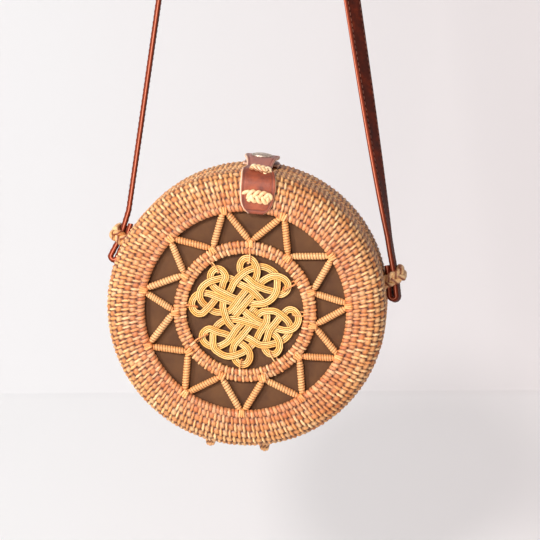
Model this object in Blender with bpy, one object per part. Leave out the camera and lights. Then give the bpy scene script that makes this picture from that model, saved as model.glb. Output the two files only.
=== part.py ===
"""Round woven cane handbag, closed and hanging from its leather shoulder strap.

Two dished cane halves meet at a seam all the way round. The front half has a star
of wrapped canes round a ring, and a cane knot tied inside the ring. The halves are
hinged at the bottom by two cane loops and closed at the top by a leather tab with a
snap. The strap passes down through a cane loop on each side of the back half.

Metres, +Z up, front face towards -Y. The origin is the hang point: the place under
the top bend of the strap where a hook or peg carries the whole bag.
"""

import math

import bmesh
import bpy
from mathutils import Euler, Matrix, Vector

# Bag: two round dished halves, seam plane at y = 0 in the bag's own frame.
BAG_RADIUS = 0.100
HALF_DEPTH = 0.039
RIM_RADIUS = 0.011
WALL = 0.0055
ROUND_SEGMENTS = 52
CORNER_STEPS = 4
CLEARANCE = 0.0003
SHARP_ANGLE = math.radians(35)
BINDING_CORNER_SHARE = 0.55
RING_ROUND_SHARE = 0.5

# How the bag hangs: rolled clockwise seen from the front, top leaning forward.
BAG_ROLL = math.radians(6.0)
BAG_LEAN = math.radians(14.0)
BAG_CENTRE_DROP = 0.623
BAG_CENTRE_X = -0.0055

# Finishing row at the edge of each half.
BINDING_WIDTH = 0.005

# Cloth lining.
LINING_THICKNESS = 0.0012

# Open star face.
STAR_OPENING_RADIUS = 0.0724
STAR_DEPTH = 0.003
STRUT_RADIUS = 0.00215
STRUT_END_RADIUS = 0.0016
STRUT_SIDES = 8
STRUT_SPREAD = 0.0024
STRUT_END_SETBACK = 0.0017
STAR_POINT_ANGLES = (106, 73, 38, 9, -21, -52, -87, -121, -155, -187, -220)
STAR_VALLEY_ANGLES = (90, 57, 22, -6, -35, -70, -105, -139, -174, -206, -238)

# Ring of two coiled rows inside the star.
STAR_BAND_WIDTH = 0.0212
RING_OUTER_RADIUS = STAR_OPENING_RADIUS - STAR_BAND_WIDTH
RING_ROW_WIDTH = 0.0046
RING_INNER_RADIUS = RING_OUTER_RADIUS - RING_ROW_WIDTH * 2 - CLEARANCE
RING_THICKNESS = 0.0050
RING_SEGMENTS = 44

# Cane knot: one flat band that runs over and under itself.
KNOT_BAND_WIDTH = 0.0041
KNOT_BAND_THICKNESS = 0.0007
KNOT_LAYER_RISE = 0.0008
KNOT_STEP = 0.0036
KNOT_SMOOTH_STEPS = 4
# Half of the band from the middle outwards, as shares of the ring's inner radius,
# right and up on the upright bag as it hangs. The other half is the same half turned
# by 180 degrees.
KNOT_HALF_SHARES = (
    (0.0, 0.0), (-0.136, 0.107), (-0.247, 0.176), (-0.402, 0.239), (-0.542, 0.297),
    (-0.676, 0.328), (-0.807, 0.304), (-0.885, 0.223), (-0.915, 0.127), (-0.869, 0.013),
    (-0.768, -0.034), (-0.683, 0.022), (-0.589, 0.11), (-0.509, 0.21), (-0.43, 0.3),
    (-0.387, 0.4), (-0.36, 0.509), (-0.31, 0.596), (-0.354, 0.705), (-0.432, 0.75),
    (-0.51, 0.732), (-0.571, 0.659), (-0.58, 0.578), (-0.554, 0.469), (-0.467, 0.388),
    (-0.324, 0.313), (-0.207, 0.248), (-0.131, 0.216), (0.003, 0.17), (0.131, 0.138),
    (0.206, 0.134), (0.314, 0.141), (0.43, 0.194), (0.514, 0.281), (0.556, 0.384),
    (0.563, 0.498), (0.547, 0.627), (0.481, 0.697), (0.38, 0.757), (0.28, 0.775),
    (0.164, 0.748), (0.063, 0.714), (-0.054, 0.636), (-0.153, 0.533), (-0.195, 0.473),
    (-0.239, 0.373), (-0.3, 0.283), (-0.375, 0.147), (-0.355, -0.011), (-0.308, -0.158),
    (-0.225, -0.27), (-0.122, -0.377), (-0.014, -0.437), (0.103, -0.489), (0.247, -0.58),
    (0.38, -0.58), (0.479, -0.563), (0.589, -0.531), (0.697, -0.458), (0.76, -0.361),
    (0.768, -0.264), (0.737, -0.176), (0.683, -0.118), (0.557, -0.013), (0.465, 0.011),
    (0.286, -0.005), (0.169, -0.127), (0.091, -0.232), (-0.01, -0.353), (-0.108, -0.469),
    (-0.188, -0.558), (-0.226, -0.668), (-0.221, -0.748), (-0.179, -0.86), (-0.089, -0.926),
    (-0.005, -0.913), (0.061, -0.826), (0.061, -0.705), (-0.014, -0.601), (-0.08, -0.558),
    (-0.164, -0.48), (-0.263, -0.428), (-0.38, -0.377), (-0.497, -0.341), (-0.598, -0.29),
    (-0.679, -0.315), (-0.747, -0.402), (-0.739, -0.489), (-0.679, -0.567), (-0.58, -0.611),
    (-0.481, -0.611), (-0.38, -0.567), (-0.28, -0.489), (-0.166, -0.313), (-0.064, -0.208),
    (0.052, -0.071), (0.18, 0.074),
)
# Along the band, + where it goes over and - where it goes under, crossing by crossing.
KNOT_OVER_UNDER = (
    "++--+-++-+--++--++--++--++--++--++--+-++-+--++"
    "--++-+--+-++--++--++--++--++--++--++-+--+-++--"
)

# Thin canes behind the knot's outer bends that tie them to the ring.
TIE_RADIUS = 0.0005
TIE_ANGLES = (91, 129, 180, 217, 271, 307, 3, 36)
TIE_INNER_SHARES = (0.92, 0.89, 0.90, 0.84, 0.92, 0.89, 0.90, 0.84)
TIE_SIDES = 6

# Leather closing tab, laced to the front half, and its partner on the back half.
LEATHER = 0.0018
TAB_WIDTH = 0.0254
TAB_FOOT_BELOW_TOP = 0.0285
TAB_FOOT_SHIFT = 0.0022
TAB_HINGE_DEPTH = 0.0120
TAB_CORNER_STEPS = 6
# Along the tab from its foot to its hinge, then the width there, both as shares.
TAB_WIDTH_SHARES = (
    (0.0, 0.38), (0.03, 0.62), (0.08, 0.80), (0.15, 0.91), (0.25, 0.97), (0.36, 1.0),
    (0.55, 0.95), (0.75, 0.80), (0.88, 0.72), (1.0, 0.71),
)
FLAP_REACH = 0.0160
FLAP_STEPS = 8
FLAP_WIDTH_SHARES = (
    (0.0, 0.71), (0.2, 0.76), (0.4, 0.87), (0.6, 0.97), (0.75, 1.0), (0.94, 1.0), (1.0, 0.92),
)
BACK_TAB_WIDTH = 0.0260
BACK_TAB_LENGTH = 0.0240
BACK_TAB_WIDTH_SHARES = ((0.0, 1.0), (0.6, 1.0), (0.8, 0.92), (0.92, 0.76), (1.0, 0.5))

# Cane lacing that holds the leather to the basket.
LACING_THICKNESS = 0.0016
LACING_LEG = 0.0014
LACING_FIT = 0.0003
FACE_LACING_WIDTH = 0.0195
FACE_LACING_LENGTH = 0.0090
FACE_LACING_ABOVE_FOOT = 0.0120
TOP_LACING_WIDTH = 0.0150
TOP_LACING_LENGTH = 0.0060
TOP_LACING_DEPTH = -0.0190
BACK_LACING_WIDTH = 0.0160
BACK_LACING_LENGTH = 0.0045
BACK_LACING_DEPTH = 0.0175

# Snap at the end of the flap.
SNAP_DEPTH = 0.0060
CAP_RADIUS = 0.00725
CAP_THICKNESS = 0.0018
# Outline of the domed cap, as shares of its radius and of its height.
CAP_OUTLINE_SHARES = ((1.0, 0.0), (1.0, 0.45), (0.86, 0.72), (0.6, 0.9), (0.3, 1.0))
CAP_POST_RADIUS = 0.0017
STUD_FLANGE_RADIUS = 0.0050
STUD_FLANGE = 0.0006
STUD_RADIUS = 0.0020
STUD_HEIGHT = 0.0015
SOCKET_RADIUS = 0.0050
SOCKET_HOLE_RADIUS = 0.0024
SOCKET_THICKNESS = 0.0015
SNAP_SEGMENTS = 20

# Cane loops that hinge the two halves at the bottom.
HINGE_HALF_SPACING = 0.0195
HINGE_BELOW_BAG = 0.0040
HINGE_RING_RADIUS = 0.0075
HINGE_CANE_RADIUS = 0.0014
HINGE_CHANNEL_GAP = 0.0004
HINGE_RING_SEGMENTS = 24
HINGE_CANE_SIDES = 8

# Braided side loops on the back half.
LOOP_BACKSET = 0.0119
LEFT_LOOP_ANGLE = math.radians(19.8)
RIGHT_LOOP_ANGLE = math.radians(12.8)
LOOP_TILT = math.radians(30.0)
LOOP_HOLE_REACH = 0.0115
LOOP_HOLE_WIDTH = 0.0190
LOOP_ROOT = 0.0080
LOOP_BEND_RADIUS = 0.0038
LOOP_BRAID_THICKNESS = 0.0032
LOOP_BRAID_HEIGHT = 0.0065
LOOP_BEND_STEPS = 4

# Leather shoulder strap.
STRAP_WIDTH = 0.0150
STRAP_THICKNESS = 0.0028
PEG_RADIUS = 0.0100
STRAP_TWIST = math.radians(42.0)
STRAP_TWIST_SHARE = 0.6
STRAP_LEG_STEPS = 14
STRAP_BEND_STEPS = 8
STRAP_END_STEPS = 4
# Where the strap swings against its folded end, above the middle of the side loop.
PIVOT_ABOVE_LOOP = 0.0200
FOLD_GAP = 0.0005
FOLD_BELOW_LOOP = 0.0190
FOLD_TAIL_ABOVE_LOOP = 0.0100
FOLD_STEPS = 6
LEFT_TAIL_BEND = math.radians(10)
RIGHT_TAIL_BEND = math.radians(-7)

TAB_FOOT_HEIGHT = BAG_RADIUS - TAB_FOOT_BELOW_TOP
FACE_LACING_HEIGHT = TAB_FOOT_HEIGHT + FACE_LACING_ABOVE_FOOT
HINGE_POINT = Vector((0.0, 0.0, -BAG_RADIUS - HINGE_BELOW_BAG))
FACE_INNER = HALF_DEPTH - WALL
WALL_INNER_RADIUS = BAG_RADIUS - WALL
STRUT_Y = -HALF_DEPTH + STAR_DEPTH


def clear_scene():
    for old in list(bpy.data.objects):
        bpy.data.objects.remove(old)


def make_material(name, colour, roughness, metallic=0.0):
    material = bpy.data.materials.new(name)
    material.use_nodes = True
    shader = material.node_tree.nodes["Principled BSDF"]
    shader.inputs["Base Color"].default_value = (*colour, 1.0)
    shader.inputs["Roughness"].default_value = roughness
    shader.inputs["Metallic"].default_value = metallic
    return material


def make_empty(name, parent=None, location=(0, 0, 0), rotation=(0, 0, 0)):
    empty = bpy.data.objects.new(name, None)
    bpy.context.scene.collection.objects.link(empty)
    empty.parent = parent
    empty.location = location
    empty.rotation_euler = rotation
    return empty


def add_piece(name, shape, material, parent=None, origin=(0, 0, 0)):
    """Make one object of a shape drawn in the bag's frame, or in the world's frame
    for a piece without a parent. origin is the parent's place in that frame."""
    bmesh.ops.translate(shape, verts=shape.verts, vec=-Vector(origin))
    bmesh.ops.recalc_face_normals(shape, faces=shape.faces)
    mesh = bpy.data.meshes.new(name)
    shape.to_mesh(mesh)
    shape.free()
    mesh.materials.append(material)
    mesh.shade_smooth()
    mesh.set_sharp_from_angle(angle=SHARP_ANGLE)
    piece = bpy.data.objects.new(name, mesh)
    bpy.context.scene.collection.objects.link(piece)
    piece.parent = parent
    return piece


def hide_cutter(cutter):
    cutter.hide_render = True
    cutter.display_type = "WIRE"


def cut(piece, cutter):
    modifier = piece.modifiers.new("cut_" + cutter.name, "BOOLEAN")
    modifier.operation = "DIFFERENCE"
    modifier.solver = "EXACT"
    modifier.object = cutter


def loft(rings, closed_path=False, cap=True):
    """Skin a row of closed rings of points; the ends are capped with flat faces."""
    shape = bmesh.new()
    rows = [[shape.verts.new(point) for point in ring] for ring in rings]
    pairs = list(zip(rows, rows[1:]))
    if closed_path:
        pairs.append((rows[-1], rows[0]))
    for low, high in pairs:
        count = len(low)
        for i in range(count):
            j = (i + 1) % count
            shape.faces.new((low[i], low[j], high[j], high[i]))
    if cap and not closed_path:
        shape.faces.new(list(reversed(rows[0])))
        shape.faces.new(rows[-1])
    return shape


def turn(profile, segments):
    """Turn a closed profile of (radius, depth) points about the bag's depth axis."""
    rings = []
    for i in range(segments):
        angle = math.tau * i / segments
        rings.append([
            Vector((radius * math.cos(angle), depth, radius * math.sin(angle)))
            for radius, depth in profile
        ])
    return loft(rings, closed_path=True)


def turned_solid(profile, segments, centre, axis=(0, 0, 1)):
    """Turn an open profile of (radius, height) points into a capped solid of rings."""
    to_axis = Vector((0, 0, 1)).rotation_difference(Vector(axis))
    rings = []
    for radius, height in profile:
        rings.append([
            Vector(centre) + to_axis @ Vector((
                radius * math.cos(math.tau * i / segments),
                radius * math.sin(math.tau * i / segments),
                height,
            ))
            for i in range(segments)
        ])
    return loft(rings)


def block(size, centre):
    shape = bmesh.new()
    bmesh.ops.create_cube(shape, size=1.0)
    bmesh.ops.scale(shape, vec=Vector(size), verts=shape.verts)
    bmesh.ops.translate(shape, vec=Vector(centre), verts=shape.verts)
    return shape


def torus(centre, ring_radius, tube_radius, ring_segments, tube_sides):
    """A ring round the X direction, the direction in which the bag's hinge runs."""
    rings = []
    for i in range(ring_segments):
        turn_angle = math.tau * i / ring_segments
        outward = Vector((0, math.cos(turn_angle), math.sin(turn_angle)))
        middle = Vector(centre) + outward * ring_radius
        rings.append([
            middle
            + outward * tube_radius * math.cos(math.tau * j / tube_sides)
            + Vector((1, 0, 0)) * tube_radius * math.sin(math.tau * j / tube_sides)
            for j in range(tube_sides)
        ])
    return loft(rings, closed_path=True)


def corner_arc(radius, side):
    """Points round the bag's rim corner, from the face to the side wall."""
    centre_r = BAG_RADIUS - RIM_RADIUS
    centre_y = side * (HALF_DEPTH - RIM_RADIUS)
    points = []
    for i in range(CORNER_STEPS + 1):
        angle = math.pi / 2 * i / CORNER_STEPS
        points.append((centre_r + radius * math.sin(angle), centre_y + side * radius * math.cos(angle)))
    return points


def shell_profile(opening_radius, side):
    """Outline of one half: face from the opening, rim corner, wall up to the seam row."""
    edge = side * (BINDING_WIDTH + CLEARANCE)
    outside = [(opening_radius, side * HALF_DEPTH)]
    outside += corner_arc(RIM_RADIUS, side)
    outside += [(BAG_RADIUS, edge)]
    inside = [(WALL_INNER_RADIUS, edge)]
    inside += list(reversed(corner_arc(RIM_RADIUS - WALL, side)))
    inside += [(opening_radius, side * FACE_INNER)]
    return outside + inside


def build_front_shell(material, parent, channels):
    shape = turn(shell_profile(STAR_OPENING_RADIUS, -1), ROUND_SEGMENTS)
    shell = add_piece("front_shell", shape, material, parent, HINGE_POINT)
    for channel in channels:
        cut(shell, channel)
    return shell


def build_back_shell(material, parent, channels):
    """The back half is coiled right across, so its outline runs to the middle."""
    profile = shell_profile(0.0, 1)
    rings = []
    for radius, depth in profile[1:-1]:
        rings.append([
            Vector((radius * math.cos(math.tau * i / ROUND_SEGMENTS), depth,
                    radius * math.sin(math.tau * i / ROUND_SEGMENTS)))
            for i in range(ROUND_SEGMENTS)
        ])
    shell = add_piece("back_shell", loft(rings), material, parent)
    for channel in channels:
        cut(shell, channel)
    return shell


def build_edge_binding(name, side, material, parent, origin, channels):
    """The rounded finishing row at the edge of one half, flush with its wall."""
    middle_r = BAG_RADIUS - WALL / 2
    middle_y = side * (CLEARANCE / 2 + BINDING_WIDTH / 2)
    half_w = (BINDING_WIDTH - CLEARANCE / 2) / 2
    half_t = WALL / 2
    profile = [
        (middle_r + half_t, middle_y - half_w * BINDING_CORNER_SHARE),
        (middle_r + half_t, middle_y + half_w * BINDING_CORNER_SHARE),
        (middle_r + half_t * BINDING_CORNER_SHARE, middle_y + half_w),
        (middle_r - half_t * BINDING_CORNER_SHARE, middle_y + half_w),
        (middle_r - half_t, middle_y + half_w * BINDING_CORNER_SHARE),
        (middle_r - half_t, middle_y - half_w * BINDING_CORNER_SHARE),
        (middle_r - half_t * BINDING_CORNER_SHARE, middle_y - half_w),
        (middle_r + half_t * BINDING_CORNER_SHARE, middle_y - half_w),
    ]
    binding = add_piece(name, turn(profile, ROUND_SEGMENTS), material, parent, origin)
    for channel in channels:
        cut(binding, channel)
    return binding


def build_lining(prefix, side, material, parent, origin):
    """A round cloth panel behind the face and a cloth band inside the wall."""
    near = side * (FACE_INNER - CLEARANCE)
    far = side * (FACE_INNER - CLEARANCE - LINING_THICKNESS)
    panel_radius = BAG_RADIUS - RIM_RADIUS
    panel = turned_solid(
        [(panel_radius, min(near, far)), (panel_radius, max(near, far))],
        ROUND_SEGMENTS, (0, 0, 0), (0, 1, 0),
    )
    add_piece(prefix + "_lining_panel", panel, material, parent, origin)
    outer = WALL_INNER_RADIUS - CLEARANCE
    inner = outer - LINING_THICKNESS
    seam = side * CLEARANCE
    deep = side * (HALF_DEPTH - RIM_RADIUS)
    wall = turn([(outer, seam), (outer, deep), (inner, deep), (inner, seam)], ROUND_SEGMENTS)
    add_piece(prefix + "_lining_wall", wall, material, parent, origin)


def polar(radius, degrees, depth):
    angle = math.radians(degrees)
    return Vector((radius * math.cos(angle), depth, radius * math.sin(angle)))


def sideways(degrees):
    angle = math.radians(degrees)
    return Vector((-math.sin(angle), 0, math.cos(angle)))


def wrapped_cane(start, end, middle_radius, end_radius, sides):
    """A straight round cane, a little thinner at both ends."""
    axis = end - start
    length = axis.length
    taper = min(middle_radius * 2, length / 3)
    profile = [
        (end_radius, 0), (middle_radius, taper),
        (middle_radius, length - taper), (end_radius, length),
    ]
    return turned_solid(profile, sides, start, axis.normalized())


def build_star_struts(material, parent, origin):
    """Two struts run from each point of the star to the ring's valleys beside it."""
    outer = STAR_OPENING_RADIUS - STRUT_END_SETBACK
    inner = RING_OUTER_RADIUS + STRUT_END_SETBACK
    number = 0
    for i, point_angle in enumerate(STAR_POINT_ANGLES):
        valleys = (STAR_VALLEY_ANGLES[i - 1], STAR_VALLEY_ANGLES[i])
        for valley_angle, turn_sign in zip(valleys, (1, -1)):
            number += 1
            start = polar(outer, point_angle, STRUT_Y)
            start += sideways(point_angle) * STRUT_SPREAD * turn_sign
            end = polar(inner, valley_angle, STRUT_Y)
            end -= sideways(valley_angle) * STRUT_SPREAD * turn_sign
            cane = wrapped_cane(start, end, STRUT_RADIUS, STRUT_END_RADIUS, STRUT_SIDES)
            add_piece(f"star_strut_{number:02d}", cane, material, parent, origin)


def build_ring(material, parent, origin):
    rows = (
        ("ring_outer_row", RING_OUTER_RADIUS - RING_ROW_WIDTH),
        ("ring_inner_row", RING_INNER_RADIUS),
    )
    half_t = RING_THICKNESS / 2
    for name, low in rows:
        high = low + RING_ROW_WIDTH
        bevel = RING_ROW_WIDTH / 2 * RING_ROUND_SHARE
        profile = [
            (low, STRUT_Y - half_t * RING_ROUND_SHARE), (low + bevel, STRUT_Y - half_t),
            (high - bevel, STRUT_Y - half_t), (high, STRUT_Y - half_t * RING_ROUND_SHARE),
            (high, STRUT_Y + half_t * RING_ROUND_SHARE), (high - bevel, STRUT_Y + half_t),
            (low + bevel, STRUT_Y + half_t), (low, STRUT_Y + half_t * RING_ROUND_SHARE),
        ]
        add_piece(name, turn(profile, RING_SEGMENTS), material, parent, origin)


def smooth_curve(points, steps):
    """A smooth curve through every point."""
    ends = [points[0] * 2 - points[1]] + points + [points[-1] * 2 - points[-2]]
    curve = []
    for i in range(1, len(ends) - 2):
        a, b, c, d = ends[i - 1:i + 3]
        for k in range(steps):
            t = k / steps
            curve.append(0.5 * (
                b * 2 + (c - a) * t + (a * 2 - b * 5 + c * 4 - d) * t * t
                + (b * 3 - a - c * 3 + d) * t ** 3
            ))
    curve.append(points[-1])
    return curve


def even_steps(curve, step):
    """Points along a curve at even spacing close to the given step."""
    lengths = [0.0]
    for a, b in zip(curve, curve[1:]):
        lengths.append(lengths[-1] + (b - a).length)
    count = max(2, round(lengths[-1] / step))
    points = []
    k = 0
    for i in range(count + 1):
        goal = lengths[-1] * i / count
        while k < len(lengths) - 2 and lengths[k + 1] < goal:
            k += 1
        share = (goal - lengths[k]) / (lengths[k + 1] - lengths[k])
        points.append(curve[k].lerp(curve[k + 1], min(share, 1.0)))
    return points


def self_crossings(points):
    """Places along a flat path, in steps, where it crosses itself, in path order."""
    events = []
    for i in range(len(points) - 1):
        p = points[i]
        r = points[i + 1] - p
        for j in range(i + 2, len(points) - 1):
            q = points[j]
            s = points[j + 1] - q
            cross = r.x * s.y - r.y * s.x
            if cross == 0:
                continue
            gap = q - p
            t = (gap.x * s.y - gap.y * s.x) / cross
            u = (gap.x * r.y - gap.y * r.x) / cross
            if 0 <= t < 1 and 0 <= u < 1:
                events += [i + t, j + u]
    return sorted(events)


def eased_height(place, events, heights):
    """Height at a place on the band, easing from one crossing's height to the next's."""
    if place <= events[0]:
        return heights[0]
    for here, there, low, high in zip(events, events[1:], heights, heights[1:]):
        if place <= there:
            share = (place - here) / (there - here)
            return low + (high - low) * (1 - math.cos(math.pi * share)) / 2
    return heights[-1]


def knot_path():
    """The band's middle line on the bag's face: right, up, and towards the viewer."""
    half = [Vector(share) for share in KNOT_HALF_SHARES]
    whole = [-point for point in reversed(half)] + half[1:]
    upright = [point * RING_INNER_RADIUS for point in whole]
    flat = even_steps(smooth_curve(upright, KNOT_SMOOTH_STEPS), KNOT_STEP)
    events = self_crossings(flat)
    heights = [KNOT_LAYER_RISE if sign == "+" else -KNOT_LAYER_RISE for sign in KNOT_OVER_UNDER]
    path = []
    for i, point in enumerate(flat):
        rise = eased_height(i, events, heights)
        x = point.x * math.cos(BAG_ROLL) - point.y * math.sin(BAG_ROLL)
        z = point.x * math.sin(BAG_ROLL) + point.y * math.cos(BAG_ROLL)
        path.append(Vector((x, STRUT_Y - rise, z)))
    return path


def build_knot(material, parent, origin):
    path = knot_path()
    rings = []
    half_w = KNOT_BAND_WIDTH / 2
    half_t = KNOT_BAND_THICKNESS / 2
    for i, point in enumerate(path):
        ahead = path[min(i + 1, len(path) - 1)] - path[max(i - 1, 0)]
        across = Vector((-ahead.z, 0, ahead.x)).normalized() * half_w
        face = Vector((0, half_t, 0))
        rings.append([point + across + face, point - across + face,
                      point - across - face, point + across - face])
    add_piece("centre_knot", loft(rings), material, parent, origin)


def build_knot_ties(material, parent, origin):
    behind = STRUT_Y + KNOT_LAYER_RISE + KNOT_BAND_THICKNESS / 2 + CLEARANCE + TIE_RADIUS
    for number, (angle, inner_share) in enumerate(zip(TIE_ANGLES, TIE_INNER_SHARES), 1):
        start = polar(RING_INNER_RADIUS - CLEARANCE, angle, behind)
        end = polar(RING_INNER_RADIUS * inner_share, angle, behind)
        tie = wrapped_cane(end, start, TIE_RADIUS, TIE_RADIUS, TIE_SIDES)
        add_piece(f"knot_tie_{number}", tie, material, parent, origin)


def share_at(table, place):
    """Read a table of (place, value) shares at a place between its rows."""
    for (low, a), (high, b) in zip(table, table[1:]):
        if place <= high:
            return a + (b - a) * (place - low) / (high - low)
    return table[-1][1]


def leather_strip(path, width, width_shares, round_start=False):
    """A strip of leather whose middle surface follows a path of points."""
    lengths = [0.0]
    for a, b in zip(path, path[1:]):
        lengths.append(lengths[-1] + (b - a).length)
    stations = []
    for i, point in enumerate(path):
        along = (path[min(i + 1, len(path) - 1)] - path[max(i - 1, 0)]).normalized()
        half_w = width / 2 * share_at(width_shares, lengths[i] / lengths[-1])
        stations.append((point, along, half_w, LEATHER / 2))
    if round_start:
        point, along, half_w, half_t = stations[0]
        for degrees in (30, 60, 80):
            back = math.sin(math.radians(degrees)) * half_t
            thin = math.cos(math.radians(degrees)) * half_t
            stations.insert(0, (point - along * back, along, half_w, thin))
    rings = []
    for point, along, half_w, half_t in stations:
        across = Vector((half_w, 0, 0))
        up = Vector((0, -along.z, along.y)).normalized() * half_t
        rings.append([point + across + up, point - across + up,
                      point - across - up, point + across - up])
    return loft(rings)


def path_rows(corners, shares):
    """Points on a polyline at the given shares of its length, with its corners kept."""
    lengths = [0.0]
    for a, b in zip(corners, corners[1:]):
        lengths.append(lengths[-1] + (b - a).length)
    goals = sorted(set([share * lengths[-1] for share in shares] + lengths))
    rows = []
    for goal in goals:
        if rows and goal - rows[-1][0] < CLEARANCE:
            continue
        k = 0
        while k < len(lengths) - 2 and lengths[k + 1] < goal:
            k += 1
        share = (goal - lengths[k]) / (lengths[k + 1] - lengths[k])
        rows.append((goal, corners[k].lerp(corners[k + 1], min(share, 1.0))))
    return [point for _, point in rows]


def staple(width, length, leg_length, frame):
    """Cane lacing: a flat bar with a leg down through the leather at each end.
    frame puts its bar's underside in place, with its local Z pointing outward."""
    half_w = width / 2
    foot = -leg_length
    top = LACING_THICKNESS
    chamfer = LACING_THICKNESS / 3
    outline = [
        (-half_w, foot), (-half_w + LACING_LEG, foot), (-half_w + LACING_LEG, 0),
        (half_w - LACING_LEG, 0), (half_w - LACING_LEG, foot), (half_w, foot),
        (half_w, top - chamfer), (half_w - chamfer, top),
        (-half_w + chamfer, top), (-half_w, top - chamfer),
    ]
    rings = [
        [frame @ Vector((x, y, z)) for x, z in outline]
        for y in (-length / 2, length / 2)
    ]
    return loft(rings)


def slot_cutters(name, width, length, frame, parent, origin):
    """Two block cutters for the slots that a staple's legs pass through."""
    cutters = []
    deep = LEATHER * 4
    for side in (-1, 1):
        size = (LACING_LEG + LACING_FIT * 2, length + LACING_FIT * 2, deep)
        shape = block(size, (side * (width / 2 - LACING_LEG / 2), 0, 0))
        bmesh.ops.transform(shape, matrix=frame, verts=shape.verts)
        cutter = add_piece(f"{name}_{'left' if side < 0 else 'right'}", shape, None, parent, origin)
        hide_cutter(cutter)
        cutters.append(cutter)
    return cutters


def build_front_tab(leather, cane, parent, origin):
    """The laced part of the tab: up the face, round the rim and back to the hinge."""
    middle = CLEARANCE + LEATHER / 2
    face_y = -HALF_DEPTH - middle
    shift = TAB_FOOT_SHIFT
    corners = [Vector((shift, face_y, TAB_FOOT_HEIGHT))]
    for i in range(TAB_CORNER_STEPS + 1):
        angle = math.pi / 2 * i / TAB_CORNER_STEPS
        reach = RIM_RADIUS + middle
        corners.append(Vector((
            shift * math.cos(angle),
            -HALF_DEPTH + RIM_RADIUS - reach * math.cos(angle),
            BAG_RADIUS - RIM_RADIUS + reach * math.sin(angle),
        )))
    end_y = -TAB_HINGE_DEPTH - LEATHER / 2 - CLEARANCE
    corners.append(Vector((0, end_y, BAG_RADIUS + middle)))
    path = path_rows(corners, [share for share, _ in TAB_WIDTH_SHARES])
    tab = add_piece("front_tab", leather_strip(path, TAB_WIDTH, TAB_WIDTH_SHARES),
                    leather, parent, origin)

    outer = CLEARANCE + LEATHER + CLEARANCE
    face_frame = Matrix.Translation((shift, -HALF_DEPTH - outer, FACE_LACING_HEIGHT))
    face_frame = face_frame @ Matrix.Rotation(math.pi / 2, 4, "X")
    top_frame = Matrix.Translation((0, TOP_LACING_DEPTH, BAG_RADIUS + outer))
    lacings = (
        ("lower_tab_lacing", FACE_LACING_WIDTH, FACE_LACING_LENGTH, face_frame),
        ("upper_tab_lacing", TOP_LACING_WIDTH, TOP_LACING_LENGTH, top_frame),
    )
    for name, width, length, frame in lacings:
        shape = staple(width, length, LEATHER + CLEARANCE, frame)
        add_piece(name, shape, cane, parent, origin)
        for cutter in slot_cutters(name + "_slot", width, length, frame, parent, origin):
            cut(tab, cutter)


def flap_underside_height():
    """Stack at the snap: back tab, stud flange and socket lie under the flap."""
    return (BAG_RADIUS + CLEARANCE + LEATHER + CLEARANCE + STUD_FLANGE
            + CLEARANCE + SOCKET_THICKNESS + CLEARANCE)


def tab_hinge_point():
    return Vector((0, -TAB_HINGE_DEPTH, BAG_RADIUS + CLEARANCE + LEATHER / 2))


def hole_cutter(name, radius, low, high, parent, origin):
    shape = turned_solid([(radius, low), (radius, high)], SNAP_SEGMENTS, (0, SNAP_DEPTH, 0))
    cutter = add_piece(name, shape, None, parent, origin)
    hide_cutter(cutter)
    return cutter


def build_flap(leather, metal, parent, origin):
    """The free end of the tab, which rises over the snap, with the cap and socket."""
    start = tab_hinge_point()
    under = flap_underside_height()
    lift = under + LEATHER / 2 - start.z
    rise_length = TAB_HINGE_DEPTH + SNAP_DEPTH - CAP_RADIUS
    path = []
    for i in range(FLAP_STEPS + 1):
        share = i / FLAP_STEPS
        ease = share * share * (3 - 2 * share)
        path.append(start + Vector((0, rise_length * share, lift * ease)))
    flat_length = FLAP_REACH - path[-1].y
    for share in (0.25, 0.5, 0.75, 0.9, 1.0):
        path.append(start + Vector((0, rise_length + flat_length * share, lift)))
    shape = leather_strip(path, TAB_WIDTH, FLAP_WIDTH_SHARES, round_start=True)
    flap = add_piece("tab_flap", shape, leather, parent, origin)
    hole = CAP_POST_RADIUS + CLEARANCE
    cut(flap, hole_cutter("flap_snap_hole", hole, BAG_RADIUS, under + LEATHER * 3, parent, origin))

    seat = under + LEATHER + CLEARANCE
    outline = [(CAP_POST_RADIUS, under), (CAP_POST_RADIUS, seat)]
    for radius_share, height_share in CAP_OUTLINE_SHARES:
        outline.append((CAP_RADIUS * radius_share, seat + CAP_THICKNESS * height_share))
    cap = turned_solid(outline, SNAP_SEGMENTS, (0, SNAP_DEPTH, 0))
    add_piece("snap_cap", cap, metal, parent, origin)

    socket_low = under - CLEARANCE - SOCKET_THICKNESS
    profile = [
        (SOCKET_HOLE_RADIUS, socket_low), (SOCKET_RADIUS, socket_low),
        (SOCKET_RADIUS, under - CLEARANCE), (SOCKET_HOLE_RADIUS, under - CLEARANCE),
    ]
    rings = []
    for i in range(SNAP_SEGMENTS):
        angle = math.tau * i / SNAP_SEGMENTS
        rings.append([
            Vector((r * math.cos(angle), SNAP_DEPTH + r * math.sin(angle), z)) for r, z in profile
        ])
    add_piece("snap_socket", loft(rings, closed_path=True), metal, parent, origin)


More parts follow.
